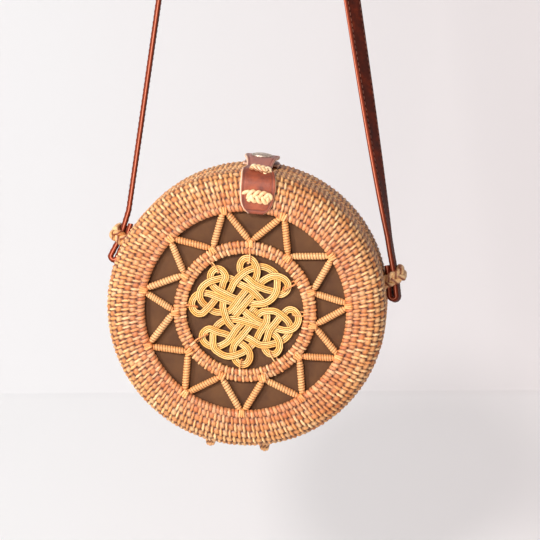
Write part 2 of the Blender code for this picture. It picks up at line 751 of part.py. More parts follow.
def build_back_tab(leather, cane, metal, parent):
    low = BAG_RADIUS + CLEARANCE
    start = Vector((0, CLEARANCE * 2, low + LEATHER / 2))
    end = start + Vector((0, BACK_TAB_LENGTH, 0))
    path = path_rows([start, end], [share for share, _ in BACK_TAB_WIDTH_SHARES])
    tab = add_piece("back_tab", leather_strip(path, BACK_TAB_WIDTH, BACK_TAB_WIDTH_SHARES),
                    leather, parent)
    post = CAP_POST_RADIUS
    cut(tab, hole_cutter("back_tab_snap_hole", post + CLEARANCE, BAG_RADIUS,
                         low + LEATHER * 2, parent, (0, 0, 0)))
    frame = Matrix.Translation((0, BACK_LACING_DEPTH, low + LEATHER + CLEARANCE))
    shape = staple(BACK_LACING_WIDTH, BACK_LACING_LENGTH, LEATHER + CLEARANCE, frame)
    add_piece("back_tab_lacing", shape, cane, parent)
    for cutter in slot_cutters("back_lacing_slot", BACK_LACING_WIDTH, BACK_LACING_LENGTH,
                               frame, parent, (0, 0, 0)):
        cut(tab, cutter)
    flange_low = low + LEATHER + CLEARANCE
    flange_top = flange_low + STUD_FLANGE
    stud = turned_solid(
        [
            (post, low), (post, flange_low), (STUD_FLANGE_RADIUS, flange_low),
            (STUD_FLANGE_RADIUS, flange_top), (STUD_RADIUS, flange_top),
            (STUD_RADIUS, flange_top + STUD_HEIGHT),
        ],
        SNAP_SEGMENTS, (0, SNAP_DEPTH, 0),
    )
    add_piece("snap_stud", stud, metal, parent)


def build_hinge_channels(parent):
    channels = []
    for side, name in ((-1, "left"), (1, "right")):
        centre = HINGE_POINT + Vector((side * HINGE_HALF_SPACING, 0, 0))
        shape = torus(centre, HINGE_RING_RADIUS, HINGE_CANE_RADIUS + HINGE_CHANNEL_GAP,
                      HINGE_RING_SEGMENTS, HINGE_CANE_SIDES)
        channel = add_piece(f"hinge_channel_{name}", shape, None, parent)
        hide_cutter(channel)
        channels.append(channel)
    return channels


def build_hinge_loops(material, parent):
    for side, name in ((-1, "left"), (1, "right")):
        centre = HINGE_POINT + Vector((side * HINGE_HALF_SPACING, 0, 0))
        shape = torus(centre, HINGE_RING_RADIUS, HINGE_CANE_RADIUS,
                      HINGE_RING_SEGMENTS, HINGE_CANE_SIDES)
        add_piece(f"hinge_loop_{name}", shape, material, parent)


def side_loop_frame(side):
    """Root of a side loop on the bag's wall, and the direction in which it stands out."""
    angle = LEFT_LOOP_ANGLE if side < 0 else RIGHT_LOOP_ANGLE
    root = Vector((side * BAG_RADIUS * math.cos(angle), LOOP_BACKSET,
                   BAG_RADIUS * math.sin(angle)))
    outward = Vector((side * math.cos(LOOP_TILT), 0, math.sin(LOOP_TILT)))
    return root, outward


def side_loop_hole(side):
    root, outward = side_loop_frame(side)
    return root + outward * LOOP_HOLE_REACH / 2


def build_side_loops(material, parent):
    seat = turned_solid(
        [(BAG_RADIUS + CLEARANCE, -BAG_RADIUS), (BAG_RADIUS + CLEARANCE, BAG_RADIUS)],
        ROUND_SEGMENTS, (0, 0, 0), (0, 1, 0),
    )
    seat_cutter = add_piece("side_loop_seat", seat, None, parent)
    hide_cutter(seat_cutter)
    half_w = LOOP_HOLE_WIDTH / 2 + LOOP_BRAID_THICKNESS / 2
    reach = LOOP_HOLE_REACH + LOOP_BRAID_THICKNESS / 2
    bend = LOOP_BEND_RADIUS
    flat = [(-LOOP_ROOT, -half_w)]
    for i in range(LOOP_BEND_STEPS + 1):
        angle = math.pi / 2 * i / LOOP_BEND_STEPS
        flat.append((reach - bend + bend * math.sin(angle), -half_w + bend - bend * math.cos(angle)))
    flat += [(out, -across) for out, across in reversed(flat)]
    half_t = LOOP_BRAID_THICKNESS / 2
    half_h = LOOP_BRAID_HEIGHT / 2
    corner = half_t / 2
    for side, name in ((-1, "left"), (1, "right")):
        root, outward = side_loop_frame(side)
        upward = Vector((-outward.z * side, 0, outward.x * side))
        places = [root + outward * out + Vector((0, across, 0)) for out, across in flat]
        rings = []
        for i, place in enumerate(places):
            along = (places[min(i + 1, len(places) - 1)] - places[max(i - 1, 0)]).normalized()
            out = along.cross(upward).normalized()
            rings.append([
                place + out * a + upward * b
                for a, b in (
                    (half_t, half_h - corner), (half_t - corner, half_h),
                    (corner - half_t, half_h), (-half_t, half_h - corner),
                    (-half_t, corner - half_h), (corner - half_t, -half_h),
                    (half_t - corner, -half_h), (half_t, corner - half_h),
                )
            ])
        loop = add_piece(f"strap_loop_{name}", loft(rings), material, parent)
        cut(loop, seat_cutter)


def bag_placement():
    """Turn and place of the bag: both side loops hang straight under the hang point."""
    tilt = Euler((BAG_LEAN, BAG_ROLL, 0)).to_matrix()
    span = tilt @ (side_loop_hole(1) - side_loop_hole(-1))
    yaw = -math.atan2(span.y, span.x)
    rotation = Euler((BAG_LEAN, BAG_ROLL, yaw))
    hole = rotation.to_matrix() @ side_loop_hole(-1)
    return rotation, Vector((BAG_CENTRE_X, -hole.y, -BAG_CENTRE_DROP))


def strap_leg(side, rotation, centre):
    """One leg's line in the world: outer layer at the loop, direction, peg tangent."""
    peg = Vector((0, 0, -PEG_RADIUS))
    bend = PEG_RADIUS + STRAP_THICKNESS / 2
    hole = centre + rotation.to_matrix() @ side_loop_hole(side)
    place = hole
    direction = None
    for _ in range(2):
        to_peg = peg - place
        lean = math.asin(bend / to_peg.length) * side
        direction = Vector((
            to_peg.x * math.cos(lean) + to_peg.z * math.sin(lean), 0,
            -to_peg.x * math.sin(lean) + to_peg.z * math.cos(lean),
        )).normalized()
        outward = Vector((direction.z, 0, -direction.x)) * side
        place = hole + outward * (STRAP_THICKNESS + FOLD_GAP) / 2
    to_peg = peg - place
    tangent = place + direction * math.sqrt(to_peg.length_squared - bend * bend)
    return place, direction, outward, tangent


def strap_ring(point, outward, half_w, twist):
    """Section of the strap: its width runs front to back, its thickness outward."""
    across = Vector((0, math.cos(twist), 0)) + outward * math.sin(twist)
    face = outward * math.cos(twist) - Vector((0, math.sin(twist), 0))
    across = across * half_w
    face = face * STRAP_THICKNESS / 2
    return [point + across + face, point - across + face,
            point - across - face, point + across - face]


def build_strap(material, legs):
    stations = []
    for side in (-1, 1):
        place, direction, outward, tangent = legs[side]
        pivot = place + direction * PIVOT_ABOVE_LOOP
        row = []
        for i in range(STRAP_END_STEPS, 0, -1):
            angle = math.radians(80) * i / STRAP_END_STEPS
            row.append((pivot - direction * math.sin(angle) * STRAP_WIDTH / 2, outward,
                        math.cos(angle) * STRAP_WIDTH / 2, 0.0))
        for i in range(STRAP_LEG_STEPS + 1):
            share = i / STRAP_LEG_STEPS
            twist = 0.0
            if side > 0 and 0 < share < 1:
                twist = STRAP_TWIST * math.sin(math.pi * share) ** STRAP_TWIST_SHARE
            row.append((pivot.lerp(tangent, share), outward, STRAP_WIDTH / 2, twist))
        stations.append(row)
    left, right = stations
    peg = Vector((0, 0, -PEG_RADIUS))
    bend = PEG_RADIUS + STRAP_THICKNESS / 2
    start = math.atan2(legs[-1][2].z, legs[-1][2].x)
    end = math.atan2(legs[1][2].z, legs[1][2].x)
    over = []
    for i in range(1, STRAP_BEND_STEPS):
        angle = start + (end - start) * i / STRAP_BEND_STEPS
        outward = Vector((math.cos(angle), 0, math.sin(angle)))
        over.append((peg + outward * bend, outward, STRAP_WIDTH / 2, 0.0))
    rows = left + over + list(reversed(right))
    add_piece("strap", loft([strap_ring(*row) for row in rows]), material)


def build_strap_end(name, side, bend, material, legs, bag_frame):
    """The strap's folded end: down through the loop, round, and back up inside it."""
    place, direction, outward, _ = legs[side]
    pivot = place + direction * PIVOT_ABOVE_LOOP
    half_layer = (STRAP_THICKNESS + FOLD_GAP) / 2
    hole = place - outward * half_layer
    tail_up = direction * math.cos(bend) - outward * math.sin(bend)
    tail_out = outward * math.cos(bend) + direction * math.sin(bend)
    middle_out = (outward + tail_out).normalized()
    fold_centre = hole - tail_up * (FOLD_BELOW_LOOP - STRAP_THICKNESS / 2 - half_layer)
    stations = [
        (pivot - direction * (STRAP_WIDTH / 2 + CLEARANCE), outward),
        (hole + middle_out * half_layer, middle_out),
    ]
    for i in range(FOLD_STEPS + 1):
        angle = math.pi * i / FOLD_STEPS
        around = tail_out * math.cos(angle) - tail_up * math.sin(angle)
        stations.append((fold_centre + around * half_layer, around))
    stations.append((hole - middle_out * half_layer, -middle_out))
    tail_end = hole - outward * half_layer + direction * FOLD_TAIL_ABOVE_LOOP
    stations.append((tail_end, -outward))
    rings = [strap_ring(point, around, STRAP_WIDTH / 2, 0.0) for point, around in stations]
    shape = loft(rings)
    bmesh.ops.transform(shape, matrix=bag_frame.matrix_world.inverted(), verts=shape.verts)
    add_piece(name, shape, material, bag_frame)


def main():
    clear_scene()
    rattan = make_material("rattan", (0.80, 0.56, 0.32), 0.55)
    cane = make_material("knot_cane", (0.90, 0.68, 0.33), 0.45)
    cloth = make_material("lining_cloth", (0.24, 0.17, 0.09), 0.95)
    tab_leather = make_material("tab_leather", (0.30, 0.11, 0.06), 0.45)
    strap_leather = make_material("strap_leather", (0.16, 0.045, 0.02), 0.5)
    metal = make_material("snap_metal", (0.28, 0.23, 0.18), 0.35, 1.0)

    rotation, centre = bag_placement()
    bag_frame = make_empty("bag_frame", None, centre, rotation)
    front_hinge = make_empty("front_hinge_axis", bag_frame, HINGE_POINT)
    flap_point = tab_hinge_point()
    flap_hinge = make_empty("tab_hinge_axis", front_hinge, flap_point - HINGE_POINT)
    bpy.context.view_layer.update()

    channels = build_hinge_channels(bag_frame)
    build_back_shell(rattan, bag_frame, channels)
    build_edge_binding("back_edge_binding", 1, rattan, bag_frame, (0, 0, 0), channels)
    build_lining("back", 1, cloth, bag_frame, (0, 0, 0))
    build_hinge_loops(rattan, bag_frame)
    build_side_loops(rattan, bag_frame)
    build_back_tab(tab_leather, cane, metal, bag_frame)

    build_front_shell(rattan, front_hinge, channels)
    build_edge_binding("front_edge_binding", -1, rattan, front_hinge, HINGE_POINT, channels)
    build_lining("front", -1, cloth, front_hinge, HINGE_POINT)
    build_star_struts(rattan, front_hinge, HINGE_POINT)
    build_ring(rattan, front_hinge, HINGE_POINT)
    build_knot(cane, front_hinge, HINGE_POINT)
    build_knot_ties(rattan, front_hinge, HINGE_POINT)
    build_front_tab(tab_leather, cane, front_hinge, HINGE_POINT)
    build_flap(tab_leather, metal, flap_hinge, flap_point)

    legs = {side: strap_leg(side, rotation, centre) for side in (-1, 1)}
    build_strap(strap_leather, legs)
    build_strap_end("strap_end_left", -1, LEFT_TAIL_BEND, strap_leather, legs, bag_frame)
    build_strap_end("strap_end_right", 1, RIGHT_TAIL_BEND, strap_leather, legs, bag_frame)


main()
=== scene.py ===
"""Looks of the round woven cane handbag: cane, cloth, leather, metal, backdrop and light.

Pieces of the bag are drawn in the bag's own frame, with X right, Y back, Z up and the
middle of the seam at the origin. The strap is drawn in the world's frame, whose origin
is the hang point. Metres throughout. A name that ends in share or shares holds parts of
another size, and a name that ends in span holds the two ends of a range.
"""
import math

import bpy
import numpy as np
from mathutils import Euler, Matrix, Vector


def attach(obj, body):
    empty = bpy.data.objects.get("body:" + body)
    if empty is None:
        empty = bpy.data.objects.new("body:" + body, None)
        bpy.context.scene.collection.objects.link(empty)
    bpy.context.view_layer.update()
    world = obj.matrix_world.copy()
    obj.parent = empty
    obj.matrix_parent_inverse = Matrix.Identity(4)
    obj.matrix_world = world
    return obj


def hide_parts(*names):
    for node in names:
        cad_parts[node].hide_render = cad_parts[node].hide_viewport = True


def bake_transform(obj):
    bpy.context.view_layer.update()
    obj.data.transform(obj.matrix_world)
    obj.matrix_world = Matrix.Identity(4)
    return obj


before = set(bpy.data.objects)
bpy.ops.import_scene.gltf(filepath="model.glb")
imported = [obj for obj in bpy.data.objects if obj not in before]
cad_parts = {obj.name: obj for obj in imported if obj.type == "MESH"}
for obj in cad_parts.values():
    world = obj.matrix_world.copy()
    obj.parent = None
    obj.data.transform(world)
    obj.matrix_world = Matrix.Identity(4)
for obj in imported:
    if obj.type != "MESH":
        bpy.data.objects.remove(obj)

LEFT, RIGHT = -1, 1
FRONT, BACK = -1, 1

# Bag: two round dished halves, seam plane at y = 0 in the bag's own frame.
BAG_RADIUS = 0.100
HALF_DEPTH = 0.039
RIM_RADIUS = 0.011
WALL = 0.0055
CLEARANCE = 0.0003
BAG_ROLL = math.radians(6.0)
BAG_LEAN = math.radians(14.0)
BAG_CENTRE_DROP = 0.623
BAG_CENTRE_X = -0.0055
FLAT_RADIUS = BAG_RADIUS - RIM_RADIUS
RIM_DEPTH = HALF_DEPTH - RIM_RADIUS
FACE_INNER = HALF_DEPTH - WALL
WALL_INNER_RADIUS = BAG_RADIUS - WALL
INNER_CORNER_STEPS = 4

# Coil weave. Wide patches and narrow proud strips take turns in each row.
STEP = 0.0006
ROW = 0.00516
COLUMNS = 1176
INNER_COLUMNS = 147
STRIPS_ROUND = 84
SPIRAL_STRIP_PITCH = 0.0058
SPIRAL_STRIP_STEP = 6
PATCH_WIDTH_SHARE = 0.50
PATCH_REACH_SHARE = 0.53
PATCH_HEIGHT_SHARE = 0.86
PATCH_COLOUR_SHARE = 0.62
STRIP_WIDTH = 0.0018
STRIP_REACH_SHARE = 0.76
STRIP_SLANT = 0.12
STRIP_STRAY_SHARE = 0.08
STRIP_NARROWEST_SHARE = 0.86
STRIP_WIDER_SHARE = 0.28
STRIP_LOWEST_SHARE = 0.94
STRIP_EDGE_SHARE = 0.58
STRIP_END_POWER = 0.45
STRIP_DOME_SHARE = 0.98
ROW_DOME_SHARE = 0.99
CORE_HEIGHT_SHARE = 0.50
WEAVE_RISE = 0.0006
WEAVE_DEPTH = 0.0020
# Height given to the plain inside, low enough that the material darkens it a little: painted shade.
INSIDE_HEIGHT = 0.8

# How rows stray from round: size in rows, waves round the bag and start of each wave.
FRONT_WAVES = ((0.05, 3, 1), (0.03, 7, 0))
BACK_WAVES = ((0.05, 2, 0),)
RING_WAVES = ((0.04, 5, 0),)

# Cane wound over the opening's first row and over the rows at the seam.
OPENING_ROW_FACE = 0.0050
OPENING_WRAPS = 168
OPENING_SEED = 11
OPENING_DIP_FROM_SHARE = 0.8
OPENING_DIP_SHARE = 0.7
OPENING_ODD_HEIGHT_SHARE = 0.86
OPENING_ODD_COLOUR_SHARE = 0.35
# Near the opening the cane turns a darker red over these rows: partly its own colour, partly
# painted shade at the opening's edge.
OPENING_RED_SHADE_ROWS = 2.6
OPENING_RED_SHADE_SHARE = 0.9
WRAP_LEAN = 0.9
WRAP_PIT_SHARE = 0.1
WRAP_LOWEST_SHARE = 0.93
WRAP_TONE_SHARE = 0.2
BINDING_WIDTH = 0.005
BINDING_WRAPS = 170
BINDING_COLUMNS_PER_WRAP = 6
BINDING_SIDES = 24
BINDING_SEED = 21
BINDING_POWER = 0.6
BINDING_GROOVE_SHARE = 0.28

# Open star face.
STAR_OPENING_RADIUS = 0.0724
STAR_DEPTH = 0.003
STRUT_Y = -HALF_DEPTH + STAR_DEPTH
STRUT_RADIUS = 0.00215
STRUT_END_RADIUS = 0.0016
STRUT_SPREAD = 0.0024
STRUT_END_SETBACK = 0.0017
STRUT_OVERRUN_SHARE = 0.9
STRUT_WRAPS = 13
STRUT_STEPS_PER_WRAP = 6
STRUT_GROOVE_SHARE = 0.24
STRUT_FULLNESS = 1.16
STRUT_SIDES = 16
STRUT_DARKEST_TONE = 0.25
STRUT_TONE_RANGE = 0.7
JOINT_CANE_RADIUS = 0.0008
JOINT_SPREAD = 0.0016
JOINT_REACH = 0.0048
JOINT_STEPS = 24
JOINT_REACH_POWER = 0.35
JOINT_DEPTH_POWER = 0.4
JOINT_FAN_SHARE = 0.55
JOINT_STRAY_SHARE = 0.3
STAR_POINT_ANGLES = (106, 73, 38, 9, -21, -52, -87, -121, -155, -187, -220)
STAR_VALLEY_ANGLES = (90, 57, 22, -6, -35, -70, -105, -139, -174, -206, -238)

# Ring of two coiled rows inside the star.
STAR_BAND_WIDTH = 0.0212
RING_OUTER_RADIUS = STAR_OPENING_RADIUS - STAR_BAND_WIDTH
RING_ROW_WIDTH = 0.0046
RING_INNER_RADIUS = RING_OUTER_RADIUS - RING_ROW_WIDTH * 2 - CLEARANCE
RING_THICKNESS = 0.0050
RING_STRIPS_ROUND = 54
RING_COLUMNS_PER_STRIP = 14
RING_SIDES = 56
RING_WIDTH_POWER = 0.8
RING_THICKNESS_POWER = 0.45
RING_EDGE_SHARE = 0.24
RING_WEAVE_SHARE = 0.9
RING_RED = 0.45

# Cane knot.
KNOT_STEP = 0.0036
KNOT_SMOOTH_STEPS = 4
KNOT_FINE_STEPS = 4
KNOT_LAYER_RISE = 0.0008
KNOT_CANES = 4
KNOT_CANE_PITCH = 0.00128
KNOT_RADIUS_SHARE = 0.48
KNOT_CANE_THICKNESS = 0.00095
KNOT_SIDES = 14
KNOT_HALF_SHARES = (
    (0.0, 0.0), (-0.136, 0.107), (-0.247, 0.176), (-0.402, 0.239), (-0.542, 0.297),
    (-0.676, 0.328), (-0.807, 0.304), (-0.885, 0.223), (-0.915, 0.127), (-0.869, 0.013),
    (-0.768, -0.034), (-0.683, 0.022), (-0.589, 0.11), (-0.509, 0.21), (-0.43, 0.3),
    (-0.387, 0.4), (-0.36, 0.509), (-0.31, 0.596), (-0.354, 0.705), (-0.432, 0.75),
    (-0.51, 0.732), (-0.571, 0.659), (-0.58, 0.578), (-0.554, 0.469), (-0.467, 0.388),
    (-0.324, 0.313), (-0.207, 0.248), (-0.131, 0.216), (0.003, 0.17), (0.131, 0.138),
    (0.206, 0.134), (0.314, 0.141), (0.43, 0.194), (0.514, 0.281), (0.556, 0.384),
    (0.563, 0.498), (0.547, 0.627), (0.481, 0.697), (0.38, 0.757), (0.28, 0.775),
    (0.164, 0.748), (0.063, 0.714), (-0.054, 0.636), (-0.153, 0.533), (-0.195, 0.473),
    (-0.239, 0.373), (-0.3, 0.283), (-0.375, 0.147), (-0.355, -0.011), (-0.308, -0.158),
    (-0.225, -0.27), (-0.122, -0.377), (-0.014, -0.437), (0.103, -0.489), (0.247, -0.58),
    (0.38, -0.58), (0.479, -0.563), (0.589, -0.531), (0.697, -0.458), (0.76, -0.361),
    (0.768, -0.264), (0.737, -0.176), (0.683, -0.118), (0.557, -0.013), (0.465, 0.011),
    (0.286, -0.005), (0.169, -0.127), (0.091, -0.232), (-0.01, -0.353), (-0.108, -0.469),
    (-0.188, -0.558), (-0.226, -0.668), (-0.221, -0.748), (-0.179, -0.86), (-0.089, -0.926),
    (-0.005, -0.913), (0.061, -0.826), (0.061, -0.705), (-0.014, -0.601), (-0.08, -0.558),
    (-0.164, -0.48), (-0.263, -0.428), (-0.38, -0.377), (-0.497, -0.341), (-0.598, -0.29),
    (-0.679, -0.315), (-0.747, -0.402), (-0.739, -0.489), (-0.679, -0.567), (-0.58, -0.611),
    (-0.481, -0.611), (-0.38, -0.567), (-0.28, -0.489), (-0.166, -0.313), (-0.064, -0.208),
    (0.052, -0.071), (0.18, 0.074),
)
KNOT_OVER_UNDER = (
    "++--+-++-+--++--++--++--++--++--++--+-++-+--++"
    "--++-+--+-++--++--++--++--++--++--++-+--+-++--"
)
TIE_ANGLES = (91, 129, 180, 217, 271, 307, 3, 36)
TIE_INNER_SHARES = (0.92, 0.89, 0.90, 0.84, 0.92, 0.89, 0.90, 0.84)
TIE_CANE_RADIUS = 0.00055
TIE_INSIDE = 0.0035
TIE_OUTSIDE = 0.0012
TIE_RISE_SHARE = 1.1
TIE_RISE = (KNOT_LAYER_RISE + KNOT_CANE_THICKNESS) * TIE_RISE_SHARE
TIE_STEPS = 28
TIE_POWER = 0.5
TIE_SWEEP_DEGREES = 1.6

# Lining cloth.
LINING_THICKNESS = 0.0012
LINING_TURN = math.radians(80)
LINING_STEPS = 8
LINING_COLUMNS = 96
LINING_RING_SHARES = (0.25, 0.5, 0.75, 0.9, 1.0)
LINING_RIPPLE = 0.0002
LINING_RIPPLES_ROUND = 5
LINING_RIPPLE_TURN = 9

# Leather tab, in shares of its length and half width, with its pressed line.
LEATHER = 0.0018
LEATHER_COLUMNS = 26
LEATHER_ROUNDED_SHARE = 0.5
LEATHER_RIM_SHARE = 0.55
LEATHER_CORNER_RIM = 0.9
LINE_INSET = 0.0022
LINE_WIDTH = 0.00035
LINE_DEPTH = 0.0004
LINE_END_SHARE = 1.35
TAB_WIDTH = 0.0254
TAB_FOOT_BELOW_TOP = 0.0285
TAB_FOOT_HEIGHT = BAG_RADIUS - TAB_FOOT_BELOW_TOP
TAB_FOOT_SHIFT = 0.0022
TAB_HINGE_DEPTH = 0.0120
TAB_BEND_STEPS = 8
# Head start of the painted sheen over the tab's bend, in rim radii.
TAB_SHEEN_LEAD_SHARE = 0.3
TAB_SMOOTHING = 5
TAB_WIDTH_SHARES = (
    (0.0, 0.38), (0.03, 0.62), (0.08, 0.80), (0.15, 0.91), (0.25, 0.97), (0.36, 1.0),
    (0.55, 0.95), (0.75, 0.80), (0.88, 0.72), (1.0, 0.71),
)
FLAP_REACH = 0.0160
FLAP_STEPS = 39
FLAP_WIDTH_SHARES = (
    (0.0, 0.71), (0.2, 0.76), (0.4, 0.87), (0.6, 0.97), (0.75, 1.0), (0.94, 1.0), (1.0, 0.92),
)
BACK_TAB_WIDTH = 0.0260
BACK_TAB_LENGTH = 0.0240
BACK_TAB_WIDTH_SHARES = ((0.0, 1.0), (0.6, 1.0), (0.8, 0.92), (0.92, 0.76), (1.0, 0.5))

# Snap. The cap's outline is in shares of its radius and thickness, up to its dome.
SNAP_DEPTH = 0.0060
CAP_RADIUS = 0.00725
CAP_THICKNESS = 0.0018
CAP_OUTLINE_SHARES = ((1.0, -0.5), (1.04, -0.1), (1.0, 0.35), (0.93, 0.55), (0.87, 0.5))
CAP_DOME_WIDTH_SHARE = 0.84
CAP_DOME_HEIGHT_SHARE = 0.5
CAP_DOME_TURN_SHARE = 0.96
CAP_DOME_POINTS = 9
CAP_COLUMNS = 64
STUD_FLANGE = 0.0006
SOCKET_THICKNESS = 0.0015

# Lacings over the tab. A run goes down over the bag's rounded edge, from its top. Each
# lacing lies at a run, and an end is a place across the tab and a run past the lacing's.
LACING_ABOVE_FOOT = 0.0120
BACK_LACING_DEPTH = 0.0175
TAB_OUTSIDE_RADIUS = RIM_RADIUS + CLEARANCE + LEATHER
LOWER_RUN = (FLAT_RADIUS - TAB_FOOT_HEIGHT - LACING_ABOVE_FOOT
             + TAB_OUTSIDE_RADIUS * math.pi / 2)
BACK_RUN = -RIM_DEPTH - BACK_LACING_DEPTH
LACINGS = (
    {
        "name": "lower_lacing", "body": "front_half", "node": "lower_tab_lacing",
        "run": LOWER_RUN, "left": (-0.00495, -0.0001), "right": (0.01155, 0.0010),
        "height": 0.0005, "swing": 0.0035, "rise": 0.0006, "wave": 0.0118, "radius": 0.0015,
        "seed": 3, "taper": 0.0030,
    },
    {
        "name": "upper_lacing", "body": "front_half", "node": "upper_tab_lacing",
        "run": 0.0, "left": (-0.0045, 0.0014), "right": (0.0081, 0.0058),
        "height": 0.0012, "swing": 0.0023, "rise": 0.0008, "wave": 0.0105, "radius": 0.0015,
        "seed": 4, "taper": 0.0,
    },
    {
        "name": "back_lacing", "body": "back_half", "node": "back_tab_lacing",
        "run": BACK_RUN, "left": (-0.0080, 0.0), "right": (0.0080, 0.0),
        "height": 0.0006, "swing": 0.0016, "rise": 0.0006, "wave": 0.0105, "radius": 0.0012,
        "seed": 5, "taper": 0.0,
    },
)
LACING_STEPS = 60
LACING_DIPS = 14
LACING_FLATNESS = 0.7
PLAIT_CANES = 3
PLAIT_THINNEST_SHARE = 0.12
CANE_TONE_SHARE = 0.3
CANE_SIDES = 12
THIN_CANE_SIDES = 8

# Hinge loops: three turns of cane side by side.
HINGE_HALF_SPACING = 0.0195
HINGE_BELOW_BAG = 0.0040
HINGE_POINT = np.array((0.0, 0.0, -BAG_RADIUS - HINGE_BELOW_BAG))
HINGE_RING_RADIUS = 0.0075
HINGE_LOOP_SEEN_RADIUS = 0.0052
HINGE_TURN_RADIUS = 0.0015
HINGE_TURN_SPREAD = 0.0026
HINGE_TOP_SPREAD_SHARE = 1.25
HINGE_DRAWN_SHARE = 0.65
HINGE_STRAY = 0.0006
HINGE_STEPS = 96
HINGE_WRAPS = 8
HINGE_GROOVE_SHARE = 0.1
HINGE_TONE_SHARE = 0.5

# Side loops.
LOOP_BACKSET = 0.0119
LOOP_ANGLE = {LEFT: math.radians(19.8), RIGHT: math.radians(12.8)}
LOOP_TILT = math.radians(30.0)
LOOP_HOLE_REACH = 0.0115
LOOP_HOLE_WIDTH = 0.0190
LOOP_ROOT = 0.0080
LOOP_BEND_RADIUS = 0.0038
LOOP_BEND_STEPS = 8
LOOP_BRAID_THICKNESS = 0.0032
LOOP_SEEN_RISE = 0.0022
LOOP_SEEN_SHORTER = {LEFT: 0.0026, RIGHT: 0.0008}
LOOP_SHAPE = {"swing": 0.0031, "rise": 0.0012, "wave": 0.0165, "radius": 0.0021, "flat": 0.9}
LOOP_SEED = 9

# Leather shoulder strap. Its seen route bows and shifts a little at the left leg.
STRAP_WIDTH = 0.0150
STRAP_THICKNESS = 0.0028
STRAP_SEEN_THICKNESS = 0.0035
PEG_RADIUS = 0.0100
STRAP_TWIST = math.radians(54.0)
STRAP_TWIST_POWER = 0.6
PIVOT_ABOVE_LOOP = 0.0200
FOLD_GAP = 0.0005
FOLD_BELOW_LOOP = {LEFT: 0.0190, RIGHT: 0.0165}
FOLD_TAIL_ABOVE_LOOP = 0.0100
FOLD_BULGE = 0.0005
FOLD_OUT_SHARE = 0.7
FOLD_STEPS = 12
TAIL_BEND = {LEFT: math.radians(10), RIGHT: math.radians(-7)}
END_TWIST = {LEFT: math.radians(6), RIGHT: math.radians(10)}
LEG_SHIFT = {LEFT: 0.0042, RIGHT: 0.0}
TAIL_SHIFT_SHARE = 0.85
HOLE_SHIFT_SHARE = 0.4
LEFT_BOW_SHARE = 0.45
LEFT_BOW_POWER = 0.85
RIGHT_BOW = 0.0018
LEG_STEPS = 120
PEG_STEPS = 16
STRAP_END_LENGTH = 0.07
STRAP_END_STEP = 0.0012
STRAP_LEG_STEP = 0.004
STRAP_COLUMNS = 12
STRAP_ROUNDED_SHARE = 0.45
STRAP_EDGE_INSET = 0.0001
STRAP_EDGE_SHARES = (0.24, 0.15)
SEAM_INSET = 0.0019
SEAM_WIDTH = 0.0004
SEAM_DEPTH = 0.00025
STITCH_PITCH = 0.0042
STITCH_LENGTH = 0.0027
STITCH_SUNK = 0.0003
STITCH_RADIUS = 0.00028
STITCH_SIDES = 6
STITCH_SHARES = np.array(((-0.5, 0.0), (-0.25, 0.8), (0.0, 1.0), (0.25, 0.8), (0.5, 0.0)))

# Camera, fitted to the photograph.
CAMERA_AZIMUTH = math.radians(2.33)
CAMERA_ELEVATION = math.radians(-4.02)
CAMERA_ROLL = math.radians(-0.344)
CAMERA_DISTANCE = 1.462
CAMERA_TARGET = (0.0095, 0.0, -0.5994)
FOCAL_PIXELS = 1996.6
FRAME_PIXELS = 540
SENSOR_MM = 36.0

# Lamps: place from the lit middle, width, power and colour of each.
LIT_MIDDLE = Vector((0.0, 0.0, -0.62))
LAMPS = {
    "key": ((-2.05, -2.38, 0.58), 0.56, 62.0, (1.0, 0.97, 0.93)),
    "fill": ((-0.72, -2.70, 0.72), 0.44, 50.0, (1.0, 0.955, 0.93)),
    "back_left": ((-1.0, 0.1, 0.75), 0.5, 1.2, (1.0, 0.98, 0.96)),
}
WORLD_LIGHT = (1.0, 0.85, 0.82, 1.0)
WORLD_STRENGTH = 0.12

# Backdrop: places of depth and height, from the front of the floor to the wall's top.
BACKDROP_HALF_WIDTH = 4.0
BACKDROP_PROFILE = (
    (-3.0, -1.0), (0.28, -1.0), (0.40, -0.825), (0.62, -0.684), (0.622, -0.681), (0.623, 2.5),
)
BACKDROP_ACROSS_SPAN = (-0.25, 0.35)
BACKDROP_FLOOR_SPAN = (-0.69, -0.68)
FLOOR_WHITE_SHARE = 0.2
GLOW_SHARE = 0.5
# Paper colour at the left and right: a little darker and pinker to the right, a painted falloff of
# the lamps' light.
PAPER_LEFT = (233, 233, 235)
PAPER_RIGHT = (232, 225, 226)
PAPER_FAR = (240, 236, 237)
WHITE = (255, 255, 255)

# Looks of the canes: colours from 0 to 255, and the heights between which low places darken to the
# pit colour, as painted shade.
RATTAN = {
    "bright": (255, 228, 174), "pale": (255, 200, 132), "tan": (238, 156, 88),
    "core": (198, 102, 48), "pit_shade": (66, 20, 6), "red_shade": (208, 108, 74), "pit_shade_span": (0.3, 0.88),
}
WOUND = {
    "bright": (255, 206, 144), "pale": (248, 182, 114), "tan": (232, 150, 88),
    "core": (202, 110, 58), "pit_shade": (84, 28, 10), "red_shade": (204, 112, 80), "pit_shade_span": (0.3, 0.95),
}
KNOT = {
    "bright": (255, 230, 156), "pale": (255, 206, 118), "tan": (252, 178, 74),
    "core": (240, 142, 52), "pit_shade": (132, 50, 14), "red_shade": (214, 130, 60), "pit_shade_span": (0.5, 0.92),
    "gloss": 0.35, "streaked": 0.2,
}
CREAM = {
    "bright": (255, 232, 194), "pale": (255, 214, 162), "tan": (246, 190, 128),
    "core": (232, 160, 98), "pit_shade": (140, 62, 26), "red_shade": (214, 130, 60), "pit_shade_span": (0.1, 0.7),
    "gloss": 0.4, "streaked": 0.2,
}
